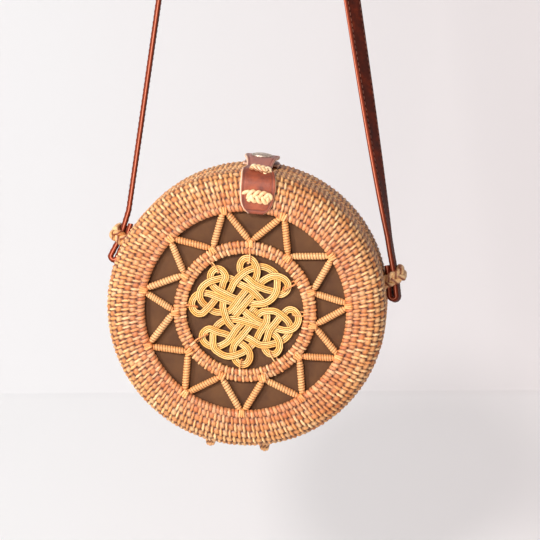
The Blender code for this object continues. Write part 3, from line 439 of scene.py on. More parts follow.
BRAID = {
    "bright": (248, 214, 162), "pale": (236, 184, 122), "tan": (214, 146, 86),
    "core": (188, 110, 60), "pit_shade": (126, 56, 24), "red_shade": (214, 130, 60), "pit_shade_span": (0.15, 0.8),
}
WORN_SPAN = (0.35, 0.75)
STAIN_SPAN = (0.5, 0.8)
STAIN_SHARE = 0.6
RED_SHADE_SHARE = 0.6
MOST_RED_SHADE_SHARE = 0.75
GLOSS_STRAY_SPAN = (-0.08, 0.15)
STREAK_BUMP_SHARE = 0.7

# Looks of leather, cloth and metal.
TAB_LEATHER = {
    "base": (152, 70, 40), "dark": (104, 44, 28), "warm": (178, 92, 58), "edge": (244, 206, 176),
}
STRAP_LEATHER = {
    "base": (88, 34, 22), "dark": (56, 22, 14), "warm": (128, 50, 28), "edge": (222, 136, 106),
    "gloss": 0.55, "shine": 0.12,
}
THREAD = {"base": (120, 62, 40), "dark": (84, 40, 26), "warm": (150, 84, 56)}
# Painted sheen: the pale lilac that the tab's parts over the top of the bag take, standing in for
# the light they catch.
SHEEN_LEATHER = (178, 132, 124)
MOST_SHEEN_SHARE = 0.55
LEATHER_STOPS = (0.32, 0.52, 0.72)
LEATHER_GLOSS_RANGE = 0.2
CLOTH = {"base": (110, 72, 38), "dark": (80, 48, 24)}
CLOTH_STOPS = (0.3, 0.65)
CLOTH_THREADS = {"Scale": 420.0, "Distortion": 1.2, "Detail": 2.0}
CLOTH_GAP_SHARE = 0.35
CLOTH_SHEEN = 0.3
METAL = {"base": (206, 190, 174), "dark": (150, 136, 122)}
METAL_STOPS = (0.35, 0.6)
METAL_SHARE = 0.85
METAL_ROUGH_SPAN = (0.28, 0.5)
DULL = 0.9
MIDDLE_SPAN = (0.3, 0.7)

# Noises: scale, detail and roughness. Bumps: strength and depth.
STREAK_NOISE = (900.0, 2.0, 0.6)
STAIN_NOISE = (45.0, 3.0, 0.6)
MOTTLE_NOISE = (90.0, 5.0, 0.65)
GRAIN_NOISE = (1500.0, 4.0, 0.7)
CLOTH_NOISE = (60.0, 4.0, 0.6)
TARNISH_NOISE = (350.0, 4.0, 0.6)
BRUSHED_NOISE = (1800.0, 3.0, 0.6)
PAPER_NOISE = (60.0, 3.0, 0.6)
CANE_BUMP_DEPTH = 0.0002
LEATHER_BUMP = (0.5, 0.0003)
CLOTH_BUMP = (0.5, 0.0003)
METAL_BUMP = (0.15, 0.0001)
PAPER_BUMP = (0.05, 0.001)

# Screen colours to linear light, and the steady values that look like chance.
SCREEN_TOP = 255
SCREEN_KNEE = 0.04045
SCREEN_SLOPE = 12.92
SCREEN_LIFT = 0.055
SCREEN_POWER = 2.4
CHANCE_FACTORS = (12.9898, 78.233, 37.719)
CHANCE_SCALE = 43758.5453
LUCK_SEED = 1
WRAP_TONE_SEED = 2
HINGE_SEED = 2
CORE_SEED = 3
TIE_SEED = 4
TONE_SEED = 5
KNOT_SEED = 7
STRAY_SEED = 7
TINY = 1e-12


# Where the bag hangs


def side_loop_frame(side):
    """Root of a side loop on the bag's wall, and the direction in which it stands out."""
    angle = LOOP_ANGLE[side]
    root = Vector((side * BAG_RADIUS * math.cos(angle), LOOP_BACKSET,
                   BAG_RADIUS * math.sin(angle)))
    outward = Vector((side * math.cos(LOOP_TILT), 0, math.sin(LOOP_TILT)))
    return root, outward


def side_loop_hole(side):
    root, outward = side_loop_frame(side)
    return root + outward * LOOP_HOLE_REACH / 2


def bag_placement():
    """Turn and place of the bag: both side loops hang straight under the hang point."""
    tilt = Euler((BAG_LEAN, BAG_ROLL, 0)).to_matrix()
    span = tilt @ (side_loop_hole(RIGHT) - side_loop_hole(LEFT))
    yaw = -math.atan2(span.y, span.x)
    rotation = Euler((BAG_LEAN, BAG_ROLL, yaw)).to_matrix()
    hole = rotation @ side_loop_hole(LEFT)
    place = Matrix.Translation((BAG_CENTRE_X, -hole.y, -BAG_CENTRE_DROP))
    return place @ rotation.to_4x4()


BAG = bag_placement()
BAG_TURN = np.array(BAG.to_3x3())
BAG_PLACE = np.array(BAG.translation)


def to_world(points):
    return np.asarray(points) @ BAG_TURN.T + BAG_PLACE


# Small helpers for numbers and shapes


def chance(i, j=0, seed=0):
    """A steady value from 0 to 1 for each pair of whole numbers."""
    by_i, by_j, by_seed = CHANCE_FACTORS
    wave = np.sin(np.asarray(i) * by_i + np.asarray(j) * by_j + seed * by_seed) * CHANCE_SCALE
    return wave - np.floor(wave)


def from_least(least, share):
    """The least value at share 0, and 1 at share 1."""
    return least + (1 - least) * share


def unit(vectors):
    length = np.linalg.norm(vectors, axis=-1, keepdims=True)
    return vectors / np.maximum(length, TINY)


def share_at(table, place):
    """Value of a table of (place, value) rows at a place between them."""
    places, values = zip(*table)
    return np.interp(place, places, values)


def squarer(value, power):
    """A sine or cosine pushed towards its ends by a power below 1, for boxy rounds."""
    return math.copysign(abs(value) ** power, value)


def round_dome(u):
    """Height of a half circle over u from -1 to 1, and zero beyond."""
    return np.sqrt(np.clip(1 - u * u, 0, 1))


def rounded_row(place):
    """Height of a round row or wrap at a place that is counted in rows or wraps."""
    return round_dome((place - np.floor(place) - 0.5) * 2 * ROW_DOME_SHARE)


def circle_angles(count):
    return math.tau * np.arange(count) / count


def around(radius, depth, angles):
    """Points of a circle about the bag's depth axis."""
    return np.stack([radius * np.cos(angles), depth + 0 * angles, radius * np.sin(angles)], -1)


def polar(radius, degrees, depth):
    return around(radius, depth, np.radians(np.array([float(degrees)])))[0]


def sideways(degrees):
    angle = math.radians(degrees)
    return np.array((-math.sin(angle), 0.0, math.cos(angle)))


def lengths_along(path):
    """Length from the start of a path to each of its points."""
    steps = np.linalg.norm(np.diff(path, axis=0), axis=1)
    return np.concatenate([[0], np.cumsum(steps)])


def at_lengths(goals, lengths, table):
    """Rows of a table that runs along a path, at the given lengths."""
    return np.stack([np.interp(goals, lengths, column) for column in table.T], -1)


def even_steps(curve, step):
    """Points along a curve at even spacing close to the given step."""
    lengths = lengths_along(curve)
    count = max(2, round(lengths[-1] / step))
    return at_lengths(lengths[-1] * np.arange(count + 1) / count, lengths, curve)


def smooth_curve(points, steps):
    """A smooth curve through every point."""
    points = np.asarray(points, float)
    ends = np.vstack([points[0] * 2 - points[1], points, points[-1] * 2 - points[-2]])
    curve = []
    for i in range(1, len(ends) - 2):
        a, b, c, d = ends[i - 1:i + 3]
        for k in range(steps):
            t = k / steps
            curve.append(0.5 * (
                b * 2 + (c - a) * t + (a * 2 - b * 5 + c * 4 - d) * t * t
                + (b * 3 - a - c * 3 + d) * t ** 3
            ))
    curve.append(points[-1])
    return np.array(curve)


def part(points, faces, slot=0, **values):
    """One body of a piece: its points, faces, material slot and point values."""
    return {"points": points, "faces": faces, "slot": slot, "values": values}


def ringed(rings, closed=False, slot=0, **values):
    """Skin rings of points, each closed round. A ring may have several times as many
    points as its neighbour. values are arrays per ring, as a list, like the rings."""
    counts = [len(ring) for ring in rings]
    starts = np.concatenate([[0], np.cumsum(counts)])
    faces = []
    pairs = list(zip(range(len(rings)), range(1, len(rings))))
    if closed:
        pairs.append((len(rings) - 1, 0))
    for a, b in pairs:
        first = starts[a] + np.arange(counts[a])
        second = starts[b] + np.arange(counts[b])
        if counts[a] == counts[b]:
            quads = np.stack([first, np.roll(first, -1), np.roll(second, -1), second], -1)
            faces.extend(quads.tolist())
            continue
        few, many = (first, second) if counts[a] < counts[b] else (second, first)
        ratio = len(many) // len(few)
        for k in range(len(few)):
            fan = [int(many[(k * ratio + m) % len(many)]) for m in range(ratio + 1)]
            face = [int(few[k])] + fan + [int(few[(k + 1) % len(few)])]
            faces.append(face if counts[a] > counts[b] else face[::-1])
    if not closed:
        faces.append(list(range(starts[1]))[::-1])
        faces.append(list(range(starts[-2], starts[-1])))
    joined = {name: np.concatenate(rows) for name, rows in values.items()}
    return part(np.concatenate(rings), faces, slot, **joined)


def cane_body(rows, closed=True):
    """Skin rows of woven cane. A row is a ring, then the height, strip share, tone and darker red
    of its points, each one value or an array. The height darkens low places as painted shade, and
    the darker red is partly the cane's own colour and partly painted shade."""
    values = {}
    for k, name in enumerate(("deep", "strip", "tone", "blush"), 1):
        values[name] = [np.broadcast_to(row[k], len(row[0])) for row in rows]
    return ringed([row[0] for row in rows], closed, **values)


def tube(path, radius, sides, up=(0.0, 1.0, 0.0), flat=1.0, closed=False, slot=0, tone=0.5,
         ridges=None, side_shade=True):
    """A round cane along a path. flat is its thickness as a share of its width, and
    ridges is a function of (length along, angle) that gives a share of the radius."""
    path = np.asarray(path, float)
    if closed:
        ahead = np.roll(path, -1, 0) - np.roll(path, 1, 0)
    else:
        ahead = np.gradient(path, axis=0)
    along = unit(ahead)
    side = unit(np.cross(along, up))
    lift = np.cross(side, along)
    radius = np.broadcast_to(radius, len(path))
    lengths = lengths_along(path)
    angles = circle_angles(sides)
    rows = []
    for i, point in enumerate(path):
        share = np.ones(sides)
        # Painted shade: the height falls to 0 at both sides of the cane, where it meets its
        # neighbours, and the material darkens it there; this can be turned off.
        height = np.abs(np.sin(angles)) if side_shade else share
        if ridges is not None:
            share, height = ridges(lengths[i], angles)
        spread = radius[i] * share
        ring = (point + np.outer(spread * np.cos(angles), side[i])
                + np.outer(spread * np.sin(angles) * flat, lift[i]))
        rows.append((ring, height))
    return ringed([row[0] for row in rows], closed, slot, deep=[row[1] for row in rows],
                  tone=[np.full(sides, tone)] * len(path), strip=[np.ones(sides)] * len(path))


def faces_outward(points, faces):
    """The faces of a closed body, all turned round where they look inwards."""
    places = points - points.mean(0)
    same_count = {}
    for face in faces:
        same_count.setdefault(len(face), []).append(face)
    volume = 0.0
    for count, group in same_count.items():
        corners = places[np.array(group)]
        for k in range(1, count - 1):
            normals = np.cross(corners[:, k], corners[:, k + 1])
            volume += np.einsum("ij,ij->", corners[:, 0], normals)
    return faces if volume > 0 else [face[::-1] for face in faces]


def make_piece(name, parts, materials, in_bag=True, closed=True):
    """Gather bodies into one mesh object, in the world's frame."""
    points, faces, slots = [], [], []
    start = 0
    names = sorted({key for one in parts for key in one["values"]})
    values = {key: [] for key in names}
    for one in parts:
        count = len(one["points"])
        points.append(one["points"])
        own_faces = faces_outward(one["points"], one["faces"]) if closed else one["faces"]
        faces.extend([[v + start for v in face] for face in own_faces])
        slots.extend([one["slot"]] * len(one["faces"]))
        for key in names:
            values[key].append(one["values"].get(key, np.zeros(count)))
        start += count
    points = np.concatenate(points)
    if in_bag:
        points = to_world(points)
    mesh = bpy.data.meshes.new(name)
    mesh.from_pydata(points.tolist(), [], faces)
    for key in names:
        attribute = mesh.attributes.new(key, "FLOAT", "POINT")
        attribute.data.foreach_set("value", np.concatenate(values[key]).astype(np.float32))
    for material in materials:
        mesh.materials.append(material)
    mesh.polygons.foreach_set("material_index", slots)
    mesh.polygons.foreach_set("use_smooth", [True] * len(mesh.polygons))
    mesh.update()
    piece = bpy.data.objects.new(name, mesh)
    bpy.context.scene.collection.objects.link(piece)
    return piece


def dress(name, parts, material, body, nodes, in_bag=True):
    """Make a piece of one material that rides on a body and replaces nodes of it."""
    piece = make_piece(name, parts, [material], in_bag)
    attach(piece, body)
    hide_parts(*nodes)
    return piece


# Materials


def linear(colour):
    """Linear light of a screen colour given from 0 to 255."""
    values = []
    for level in colour:
        s = level / SCREEN_TOP
        if s <= SCREEN_KNEE:
            values.append(s / SCREEN_SLOPE)
        else:
            values.append(((s + SCREEN_LIFT) / (1 + SCREEN_LIFT)) ** SCREEN_POWER)
    return (*values, 1.0)


class Look:
    """The nodes of a material or world, with short ways to add and join them."""

    def __init__(self, owner):
        owner.use_nodes = True
        self.owner = owner
        self.nodes = owner.node_tree.nodes
        self.links = owner.node_tree.links

    def feed(self, node, inputs):
        """Join or set sockets of a node. A tuple is a screen colour from 0 to 255."""
        for key, value in inputs.items():
            if isinstance(value, bpy.types.NodeSocket):
                self.links.new(value, node.inputs[key])
            elif isinstance(value, tuple):
                node.inputs[key].default_value = linear(value)
            else:
                node.inputs[key].default_value = value

    def add(self, kind, inputs, output, **settings):
        """A new node's output. inputs is as for feed, and settings are the node's own."""
        node = self.nodes.new(kind)
        for key, value in settings.items():
            setattr(node, key, value)
        self.feed(node, inputs)
        return node.outputs[output]

    def place(self):
        return self.add("ShaderNodeTexCoord", {}, "Object")

    def point_value(self, name):
        return self.add("ShaderNodeAttribute", {}, "Fac", attribute_name=name)

    def noise(self, scale, detail, roughness):
        return self.add("ShaderNodeTexNoise", {
            "Vector": self.place(), "Scale": scale, "Detail": detail, "Roughness": roughness,
        }, "Fac")

    def span(self, source, within, to):
        """A value that goes from one end of a range to the other, moved to a new range."""
        return self.add("ShaderNodeMapRange", {
            "Value": source, "From Min": within[0], "From Max": within[1], "To Min": to[0],
            "To Max": to[1],
        }, "Result")

    def ramp(self, source, places, colours):
        """Colour at each value of a source, between the colours at the given places."""
        node = self.nodes.new("ShaderNodeValToRGB")
        elements = node.color_ramp.elements
        while len(elements) < len(colours):
            elements.new(0.5)
        for element, place, colour in zip(elements, places, colours):
            element.position = place
            element.color = linear(colour)
        self.feed(node, {"Fac": source})
        return node.outputs["Color"]

    def mix(self, share, a, b):
        """Blend of two colours. The node's sockets for colours are numbers 6, 7 and 2."""
        return self.add("ShaderNodeMix", {0: share, 6: a, 7: b}, 2, data_type="RGBA")

    def calculate(self, operation, a, b):
        return self.add("ShaderNodeMath", {0: a, 1: b}, 0, operation=operation)

    def mix_shaders(self, share, a, b):
        return self.add("ShaderNodeMixShader", {0: share, 1: a, 2: b}, "Shader")

    def bump(self, source, strength, depth):
        return self.add("ShaderNodeBump", {
            "Height": source, "Strength": strength, "Distance": depth,
        }, "Normal")

    def seen_directly(self):
        """1 for camera, glossy and transmission rays, and 0 for the light on the bag."""
        rays = self.nodes.new("ShaderNodeLightPath").outputs
        either = self.calculate("MAXIMUM", rays["Is Camera Ray"], rays["Is Glossy Ray"])
        return self.calculate("MAXIMUM", either, rays["Is Transmission Ray"])

    def shade(self, inputs):
        """Feed the material's main shader, and give the material back."""
        self.feed(self.nodes["Principled BSDF"], inputs)
        return self.owner


def new_look(name):
    return Look(bpy.data.materials.new(name))


def cane_material(name, bright, pale, tan, core, pit_shade, red_shade, pit_shade_span, gloss=0.45, streaked=0.5):
    """Split cane: each strip has its own tone, and low places, between strips and in the pits, are
    darkened as painted shade.
    """
    look = new_look(name)
    tone = look.point_value("tone")
    streaks = look.noise(*STREAK_NOISE)
    body = look.ramp(tone, (0.0, 0.5, 1.0), (tan, pale, bright))
    body = look.mix(look.span(streaks, WORN_SPAN, (0.0, streaked)), body, tan)
    stain = look.span(look.noise(*STAIN_NOISE), STAIN_SPAN, (0.0, STAIN_SHARE))
    body = look.mix(stain, body, core)
    colour = look.mix(look.point_value("strip"), look.mix(tone, core, tan), body)
    # A darker red where the point value says: near the opening it is partly the cane's own colour
    # and partly painted shade.
    red_and_shade_share = look.span(look.point_value("blush"), (0.0, 1.0), (0.0, MOST_RED_SHADE_SHARE))
    colour = look.mix(red_and_shade_share, colour, look.mix(RED_SHADE_SHARE, colour, red_shade))
    # Painted shade: the lower a point, the more it takes the dark pit colour.
    low = look.span(look.point_value("deep"), pit_shade_span, (1.0, 0.0))
    colour = look.mix(low, colour, pit_shade)
    least, most = GLOSS_STRAY_SPAN
    rough = look.span(streaks, MIDDLE_SPAN, (gloss + least, gloss + most))
    bump = look.bump(streaks, streaked * STREAK_BUMP_SHARE, CANE_BUMP_DEPTH)
    return look.shade({"Base Color": colour, "Roughness": rough, "Normal": bump})


def leather_material(name, base, dark, warm, edge=None, gloss=0.42, shine=0.5):
    """Leather with a fine grain, mottled colour, pressed lines and a pale lilac painted sheen on
    the parts that the point value marks as facing up.
    """
    look = new_look(name)
    mottle = look.noise(*MOTTLE_NOISE)
    colour = look.ramp(mottle, LEATHER_STOPS, (dark, base, warm))
    faded = look.span(look.point_value("faded"), (0.0, 1.0), (0.0, MOST_SHEEN_SHARE))
    colour = look.mix(faded, colour, SHEEN_LEATHER)
    if edge is not None:
        colour = look.mix(look.point_value("cut_side"), colour, warm)
        colour = look.mix(look.point_value("rim"), colour, edge)
    colour = look.mix(look.point_value("groove"), colour, dark)
    rough = look.span(mottle, MIDDLE_SPAN, (gloss, gloss + LEATHER_GLOSS_RANGE))
    bump = look.bump(look.noise(*GRAIN_NOISE), *LEATHER_BUMP)
    return look.shade({"Base Color": colour, "Roughness": rough, "Normal": bump,
                       "Specular IOR Level": shine})


def cloth_material(name, base, dark):
    """Plain woven lining cloth: crossed threads in its colour and bump."""
    look = new_look(name)
    threads = [
        look.add("ShaderNodeTexWave", {"Vector": look.place(), **CLOTH_THREADS}, "Fac",
                 wave_type="BANDS", bands_direction=direction)
        for direction in ("X", "Z")
    ]
    both = look.calculate("MULTIPLY", *threads)
    colour = look.ramp(look.noise(*CLOTH_NOISE), CLOTH_STOPS, (dark, base))
    colour = look.mix(both, look.mix(CLOTH_GAP_SHARE, colour, dark), colour)
    return look.shade({"Base Color": colour, "Roughness": DULL, "Sheen Weight": CLOTH_SHEEN,
                       "Normal": look.bump(both, *CLOTH_BUMP)})


def metal_material(name, base, dark):
    """Aged metal: brushed, dull in patches."""
    look = new_look(name)
    patches = look.noise(*TARNISH_NOISE)
    return look.shade({
        "Base Color": look.ramp(patches, METAL_STOPS, (dark, base)), "Metallic": METAL_SHARE,
        "Roughness": look.span(patches, MIDDLE_SPAN, METAL_ROUGH_SPAN),
        "Normal": look.bump(look.noise(*BRUSHED_NOISE), *METAL_BUMP),
    })


# Coil weave of the two halves


def weave(angles, along, radius, count):
    """Height from 0, deep, to 1, proud, with each point's strip share and tone. In each
    row wide patches and narrow proud strips take turns, and the strips run on between
    the patches of the rows beside it. along is in rows, and count is patches per row."""
    pitch = math.tau * radius / count
    first = np.floor(along)
    best = CORE_HEIGHT_SHARE * rounded_row(along)
    strip = np.zeros_like(best)
    tone = chance(first, CORE_SEED) + 0 * best
    patch_width = PATCH_WIDTH_SHARE * pitch
    patch = (0, patch_width, PATCH_REACH_SHARE, PATCH_HEIGHT_SHARE, PATCH_COLOUR_SHARE)
    proud_strip = (1, STRIP_WIDTH, STRIP_REACH_SHARE, 1.0, 1.0)
    for step in (-1, 0, 1):
        row = first + step
        past = along - row - 0.5
        turns = angles / math.tau * count - STRIP_SLANT * past - 0.5 * np.mod(row, 2)
        for narrow, width, reach, full, colour_share in (patch, proud_strip):
            column = np.round(turns + 0.5 * narrow)
            number = np.mod(column, count)
            luck = chance(number, row, LUCK_SEED + narrow)
            shift = (chance(number, row, STRAY_SEED + narrow) - 0.5) * STRIP_STRAY_SHARE
            offset = (turns + 0.5 * narrow - column + shift) * pitch
            half_w = width / 2 * (STRIP_NARROWEST_SHARE + STRIP_WIDER_SHARE * luck)
            across = offset / half_w
            lengthways = (past + (luck - 0.5) * STRIP_STRAY_SHARE) / reach
            inside = (np.abs(across) < 1) & (np.abs(lengthways) < 1)
            lift = np.cos(math.pi / 2 * np.clip(lengthways, -1, 1)) ** STRIP_END_POWER
            # A strip's lower edges, the lower patches and the low core also darken in the material:
            # painted shade along the strips and at the row borders.
            dome = from_least(STRIP_EDGE_SHARE, round_dome(across * STRIP_DOME_SHARE))
            body = full * lift * dome * from_least(STRIP_LOWEST_SHARE, luck)
            height = np.where(inside, body, 0)
            wins = height > best
            best = np.where(wins, height, best)
            strip = np.where(wins, colour_share, strip)
            tone = np.where(wins, chance(number, row, TONE_SEED + narrow), tone)
    return best, strip, tone


def wraps(turns, count, seed):
    """Height, strip share and tone of cane wound side by side."""
    number = np.mod(np.floor(turns), count)
    # The dip between wraps also darkens in the material: painted shade.
    height = from_least(WRAP_PIT_SHARE, rounded_row(turns))
    height = height * from_least(WRAP_LOWEST_SHARE, chance(number, seed, LUCK_SEED))
    tone = from_least(WRAP_TONE_SHARE, chance(number, seed, WRAP_TONE_SEED))
    return height, np.ones_like(height), tone


def strayed(angles, waves):
    """How far the rows stray from round, in rows."""
    return sum(size * np.sin(angles * times + start) for size, times, start in waves)


def half_outline(opening_radius):
    """Outside of one half from its face to its seam: radius, depth, normal and length,
    with the depth towards the face counted positive."""
    rows = []
    face_steps = round((FLAT_RADIUS - opening_radius) / STEP)
    for i in range(face_steps):
        rows.append((opening_radius + (FLAT_RADIUS - opening_radius) * i / face_steps,
                     HALF_DEPTH, 0.0, 1.0))
    corner_steps = round(RIM_RADIUS * math.pi / 2 / STEP)
    for i in range(corner_steps):
        angle = math.pi / 2 * i / corner_steps
        rows.append((FLAT_RADIUS + RIM_RADIUS * math.sin(angle),
                     RIM_DEPTH + RIM_RADIUS * math.cos(angle), math.sin(angle), math.cos(angle)))
    wall_to = BINDING_WIDTH + CLEARANCE
    wall_steps = round((RIM_DEPTH - wall_to) / STEP)
    for i in range(wall_steps + 1):
        rows.append((BAG_RADIUS, RIM_DEPTH + (wall_to - RIM_DEPTH) * i / wall_steps, 1.0, 0.0))
    table = np.array(rows)
    return table, lengths_along(table[:, :2])


def displaced_ring(radius, depth, out_r, out_d, angles, height, side):
    shift = (height - 1) * WEAVE_DEPTH + WEAVE_RISE
    return around(radius + out_r * shift, side * (depth + out_d * shift), angles)


def inner_rows(opening_radius, side):
    """Plain inside of one half, from the seam back to the opening."""
    outline = [(WALL_INNER_RADIUS, BINDING_WIDTH + CLEARANCE)]
    corner = RIM_RADIUS - WALL
    for i in range(INNER_CORNER_STEPS + 1):
        angle = math.pi / 2 * (1 - i / INNER_CORNER_STEPS)
        outline.append((FLAT_RADIUS + corner * math.sin(angle),
                        RIM_DEPTH + corner * math.cos(angle)))
    if opening_radius > 0:
        outline.append((opening_radius, FACE_INNER))
    angles = circle_angles(INNER_COLUMNS)
    return [(around(r, side * d, angles), INSIDE_HEIGHT, 0.0, 0.0, 0.0) for r, d in outline]


def opening_rows(angles, edge, face_from):
    """The opening's first row: a rounded edge, tightly wound, with the ends of the next
    row's proud strips over it."""
    nose = WALL / 2
    arc = nose * math.pi
    flat = OPENING_ROW_FACE - nose
    arc_steps = round(arc / STEP)
    flat_steps = round(flat / STEP)
    rows = []
    for i in range(arc_steps + flat_steps):
        if i < arc_steps:
            angle = math.pi * i / arc_steps
            out_r, out_d = -math.sin(angle), -math.cos(angle)
            radius = edge + nose * out_r
            depth = HALF_DEPTH - nose + nose * out_d
            along = nose * angle
        else:
            share = (i - arc_steps) / flat_steps
            out_r, out_d = 0.0, 1.0
            radius = edge + flat * share
            depth = HALF_DEPTH
            along = arc + flat * share
        place = along / (arc + flat)
        turns = angles / math.tau * OPENING_WRAPS - place * WRAP_LEAN
        height, strip, tone = wraps(turns, OPENING_WRAPS, OPENING_SEED)
        even = np.mod(np.floor(turns), 2)
        # The row's low far edge and its lower odd wraps also darken in the material: painted shade.
        dip = max(0.0, (place - OPENING_DIP_FROM_SHARE) / (1 - OPENING_DIP_FROM_SHARE)) ** 2
        height = height * (1 - OPENING_DIP_SHARE * dip) * from_least(OPENING_ODD_HEIGHT_SHARE, even)
        strip = strip * from_least(OPENING_ODD_COLOUR_SHARE, even)
        before = np.full(len(angles), (along - arc - flat) / ROW)
        over, over_strip, over_tone = weave(angles, before, face_from, STRIPS_ROUND)
        proud = (over > height) & (over_strip == 1.0)
        height = np.where(proud, over, height)
        strip = np.where(proud, 1.0, strip)
        tone = np.where(proud, over_tone, tone)
        ring = displaced_ring(radius, depth, out_r, out_d, angles, from_least(0.5, height), FRONT)
        # The opening row takes the darker red in full: partly its own colour, partly painted shade.
        rows.append((ring, height, strip, tone, 1.0))
    return rows


def build_front_weave(material):
    edge = STAR_OPENING_RADIUS + WALL / 2
    face_from = STAR_OPENING_RADIUS + OPENING_ROW_FACE
    angles = circle_angles(COLUMNS)
    rows = opening_rows(angles, edge, face_from)
    for outline, length in zip(*half_outline(face_from)):
        along = length / ROW + strayed(angles, FRONT_WAVES)
        height, strip, tone = weave(angles, along, outline[0], STRIPS_ROUND)
        # The darker red fades out over the first rows past the opening: partly the cane's own
        # colour, partly painted shade.
        red_shade = max(0.0, 1 - length / (ROW * OPENING_RED_SHADE_ROWS)) * OPENING_RED_SHADE_SHARE
        rows.append((displaced_ring(*outline, angles, height, FRONT), height, strip, tone, red_shade))
    rows += inner_rows(edge, FRONT)
    dress("front_weave", [cane_body(rows)], material, "front_half", ["front_shell"])


def build_back_weave(material):
    """The back half is coiled right across. Strips are fewer in the rows near its middle."""
    rows = []
    for outline, length in zip(*half_outline(ROW / 2)):
        columns = COLUMNS
        while columns > INNER_COLUMNS and math.tau * outline[0] / columns < STEP / 2:
            columns //= 2
        angles = circle_angles(columns)
        row_middle = (math.floor(length / ROW) + 1) * ROW
        wanted = math.tau * row_middle / SPIRAL_STRIP_PITCH / SPIRAL_STRIP_STEP
        count = min(STRIPS_ROUND, SPIRAL_STRIP_STEP * max(1, round(wanted)))
        along = length / ROW + strayed(angles, BACK_WAVES)
        height, strip, tone = weave(angles, along, outline[0], count)
        rows.append((displaced_ring(*outline, angles, height, BACK), height, strip, tone, 0.0))
    rows += inner_rows(0.0, BACK)
    dress("back_weave", [cane_body(rows, closed=False)], material, "back_half",
          ["back_shell"])


def build_binding(name, side, node, body_name, material):
    """The rounded finishing row at the edge of one half, wound with cane."""
    middle_r = BAG_RADIUS - WALL / 2
    middle_y = side * (CLEARANCE / 2 + BINDING_WIDTH / 2)
    half_w = (BINDING_WIDTH - CLEARANCE / 2) / 2
    angles = circle_angles(BINDING_WRAPS * BINDING_COLUMNS_PER_WRAP)
    rows = []
    for turn in circle_angles(BINDING_SIDES):
        turns = angles / math.tau * BINDING_WRAPS + side * WRAP_LEAN * turn / math.tau
        height, strip, tone = wraps(turns, BINDING_WRAPS, BINDING_SEED + side)
        shift = from_least(1 - BINDING_GROOVE_SHARE, height)
        radius = middle_r + WALL / 2 * squarer(math.cos(turn), BINDING_POWER) * shift
        depth = middle_y + half_w * squarer(math.sin(turn), BINDING_POWER) * shift
        rows.append((around(radius, depth, angles), height, strip, tone, 0.0))
    dress(name, [cane_body(rows)], material, body_name, [node])


# Star, ring and knot


def ridged(wrap_count, length, groove):
    """Ridges round a wound cane, as a share of its radius, and their height."""
    def shape(place, angles):
        # The grooves' low height also darkens them in the material: painted shade.
        height = rounded_row(place / length * wrap_count + angles / math.tau)
        return 1 - groove * (1 - height), height
    return shape


def joint_canes(edge, outward, degrees, face, thickness):
    """Thin canes that bind a pair of struts to the row beside them: loops round the row
    that start over the edge at the given radius. outward is 1 or -1."""
    rise = WEAVE_RISE + JOINT_CANE_RADIUS / 2
    lowest = max(face - thickness - rise, FACE_INNER - CLEARANCE + JOINT_CANE_RADIUS)
    parts = []
    for k in (-1, 0, 1):
        loop = []
        for turn in circle_angles(JOINT_STEPS):
            share = from_least(0.5, squarer(math.cos(turn), JOINT_REACH_POWER))
            radius = edge - outward * JOINT_CANE_RADIUS + outward * JOINT_REACH * share
            height = from_least(0.5, squarer(math.sin(turn), JOINT_DEPTH_POWER))
            depth = -(lowest + (face + rise - lowest) * height)
            stray = JOINT_STRAY_SHARE * chance(TONE_SEED + k, degrees)
            fan = k * JOINT_SPREAD * (from_least(JOINT_FAN_SHARE, share) + stray)
            loop.append(polar(radius, degrees, depth) + sideways(degrees) * fan)
        parts.append(tube(loop, JOINT_CANE_RADIUS, THIN_CANE_SIDES, up=sideways(degrees),
                          closed=True, tone=chance(CORE_SEED + k, degrees), side_shade=False))
    return parts


def strut(point_angle, valley_angle, turn_sign, number):
    """One wound cane from the opening to the ring, thinner at both ends."""
    start = polar(STAR_OPENING_RADIUS - STRUT_END_SETBACK, point_angle, STRUT_Y)
    start = start + sideways(point_angle) * STRUT_SPREAD * turn_sign
    end = polar(RING_OUTER_RADIUS + STRUT_END_SETBACK, valley_angle, STRUT_Y)
    end = end - sideways(valley_angle) * STRUT_SPREAD * turn_sign
    overrun = unit(end - start) * STRUT_END_SETBACK * STRUT_OVERRUN_SHARE
    start = start - overrun
    end = end + overrun
    length = float(np.linalg.norm(end - start))
    steps = STRUT_WRAPS * STRUT_STEPS_PER_WRAP
    shares = np.arange(steps + 1) / steps
    taper = np.minimum(1, np.minimum(shares, 1 - shares) * length / (STRUT_RADIUS * 2))
    swell = STRUT_RADIUS * STRUT_FULLNESS - STRUT_END_RADIUS
    radius = STRUT_END_RADIUS + swell * np.sin(taper * math.pi / 2)
    return tube(start + np.outer(shares, end - start), radius, STRUT_SIDES,
                ridges=ridged(STRUT_WRAPS, length, STRUT_GROOVE_SHARE),
                tone=STRUT_DARKEST_TONE + STRUT_TONE_RANGE * chance(number, LUCK_SEED))


def build_struts(material):
    parts = []
    for i, point_angle in enumerate(STAR_POINT_ANGLES):
        for valley, turn_sign in ((i - 1, 1), (i, -1)):
            parts.append(strut(point_angle, STAR_VALLEY_ANGLES[valley], turn_sign, len(parts) + 1))
    nodes = [f"star_strut_{number:02d}" for number in range(1, len(parts) + 1)]
    ring_face = HALF_DEPTH - STAR_DEPTH + RING_THICKNESS / 2
    for angle in STAR_POINT_ANGLES:
        parts.extend(joint_canes(STAR_OPENING_RADIUS, 1, angle, HALF_DEPTH, WALL))
    for angle in STAR_VALLEY_ANGLES:
        parts.extend(joint_canes(RING_OUTER_RADIUS, -1, angle, ring_face, RING_THICKNESS))
    dress("star_struts", parts, material, "front_half", nodes)


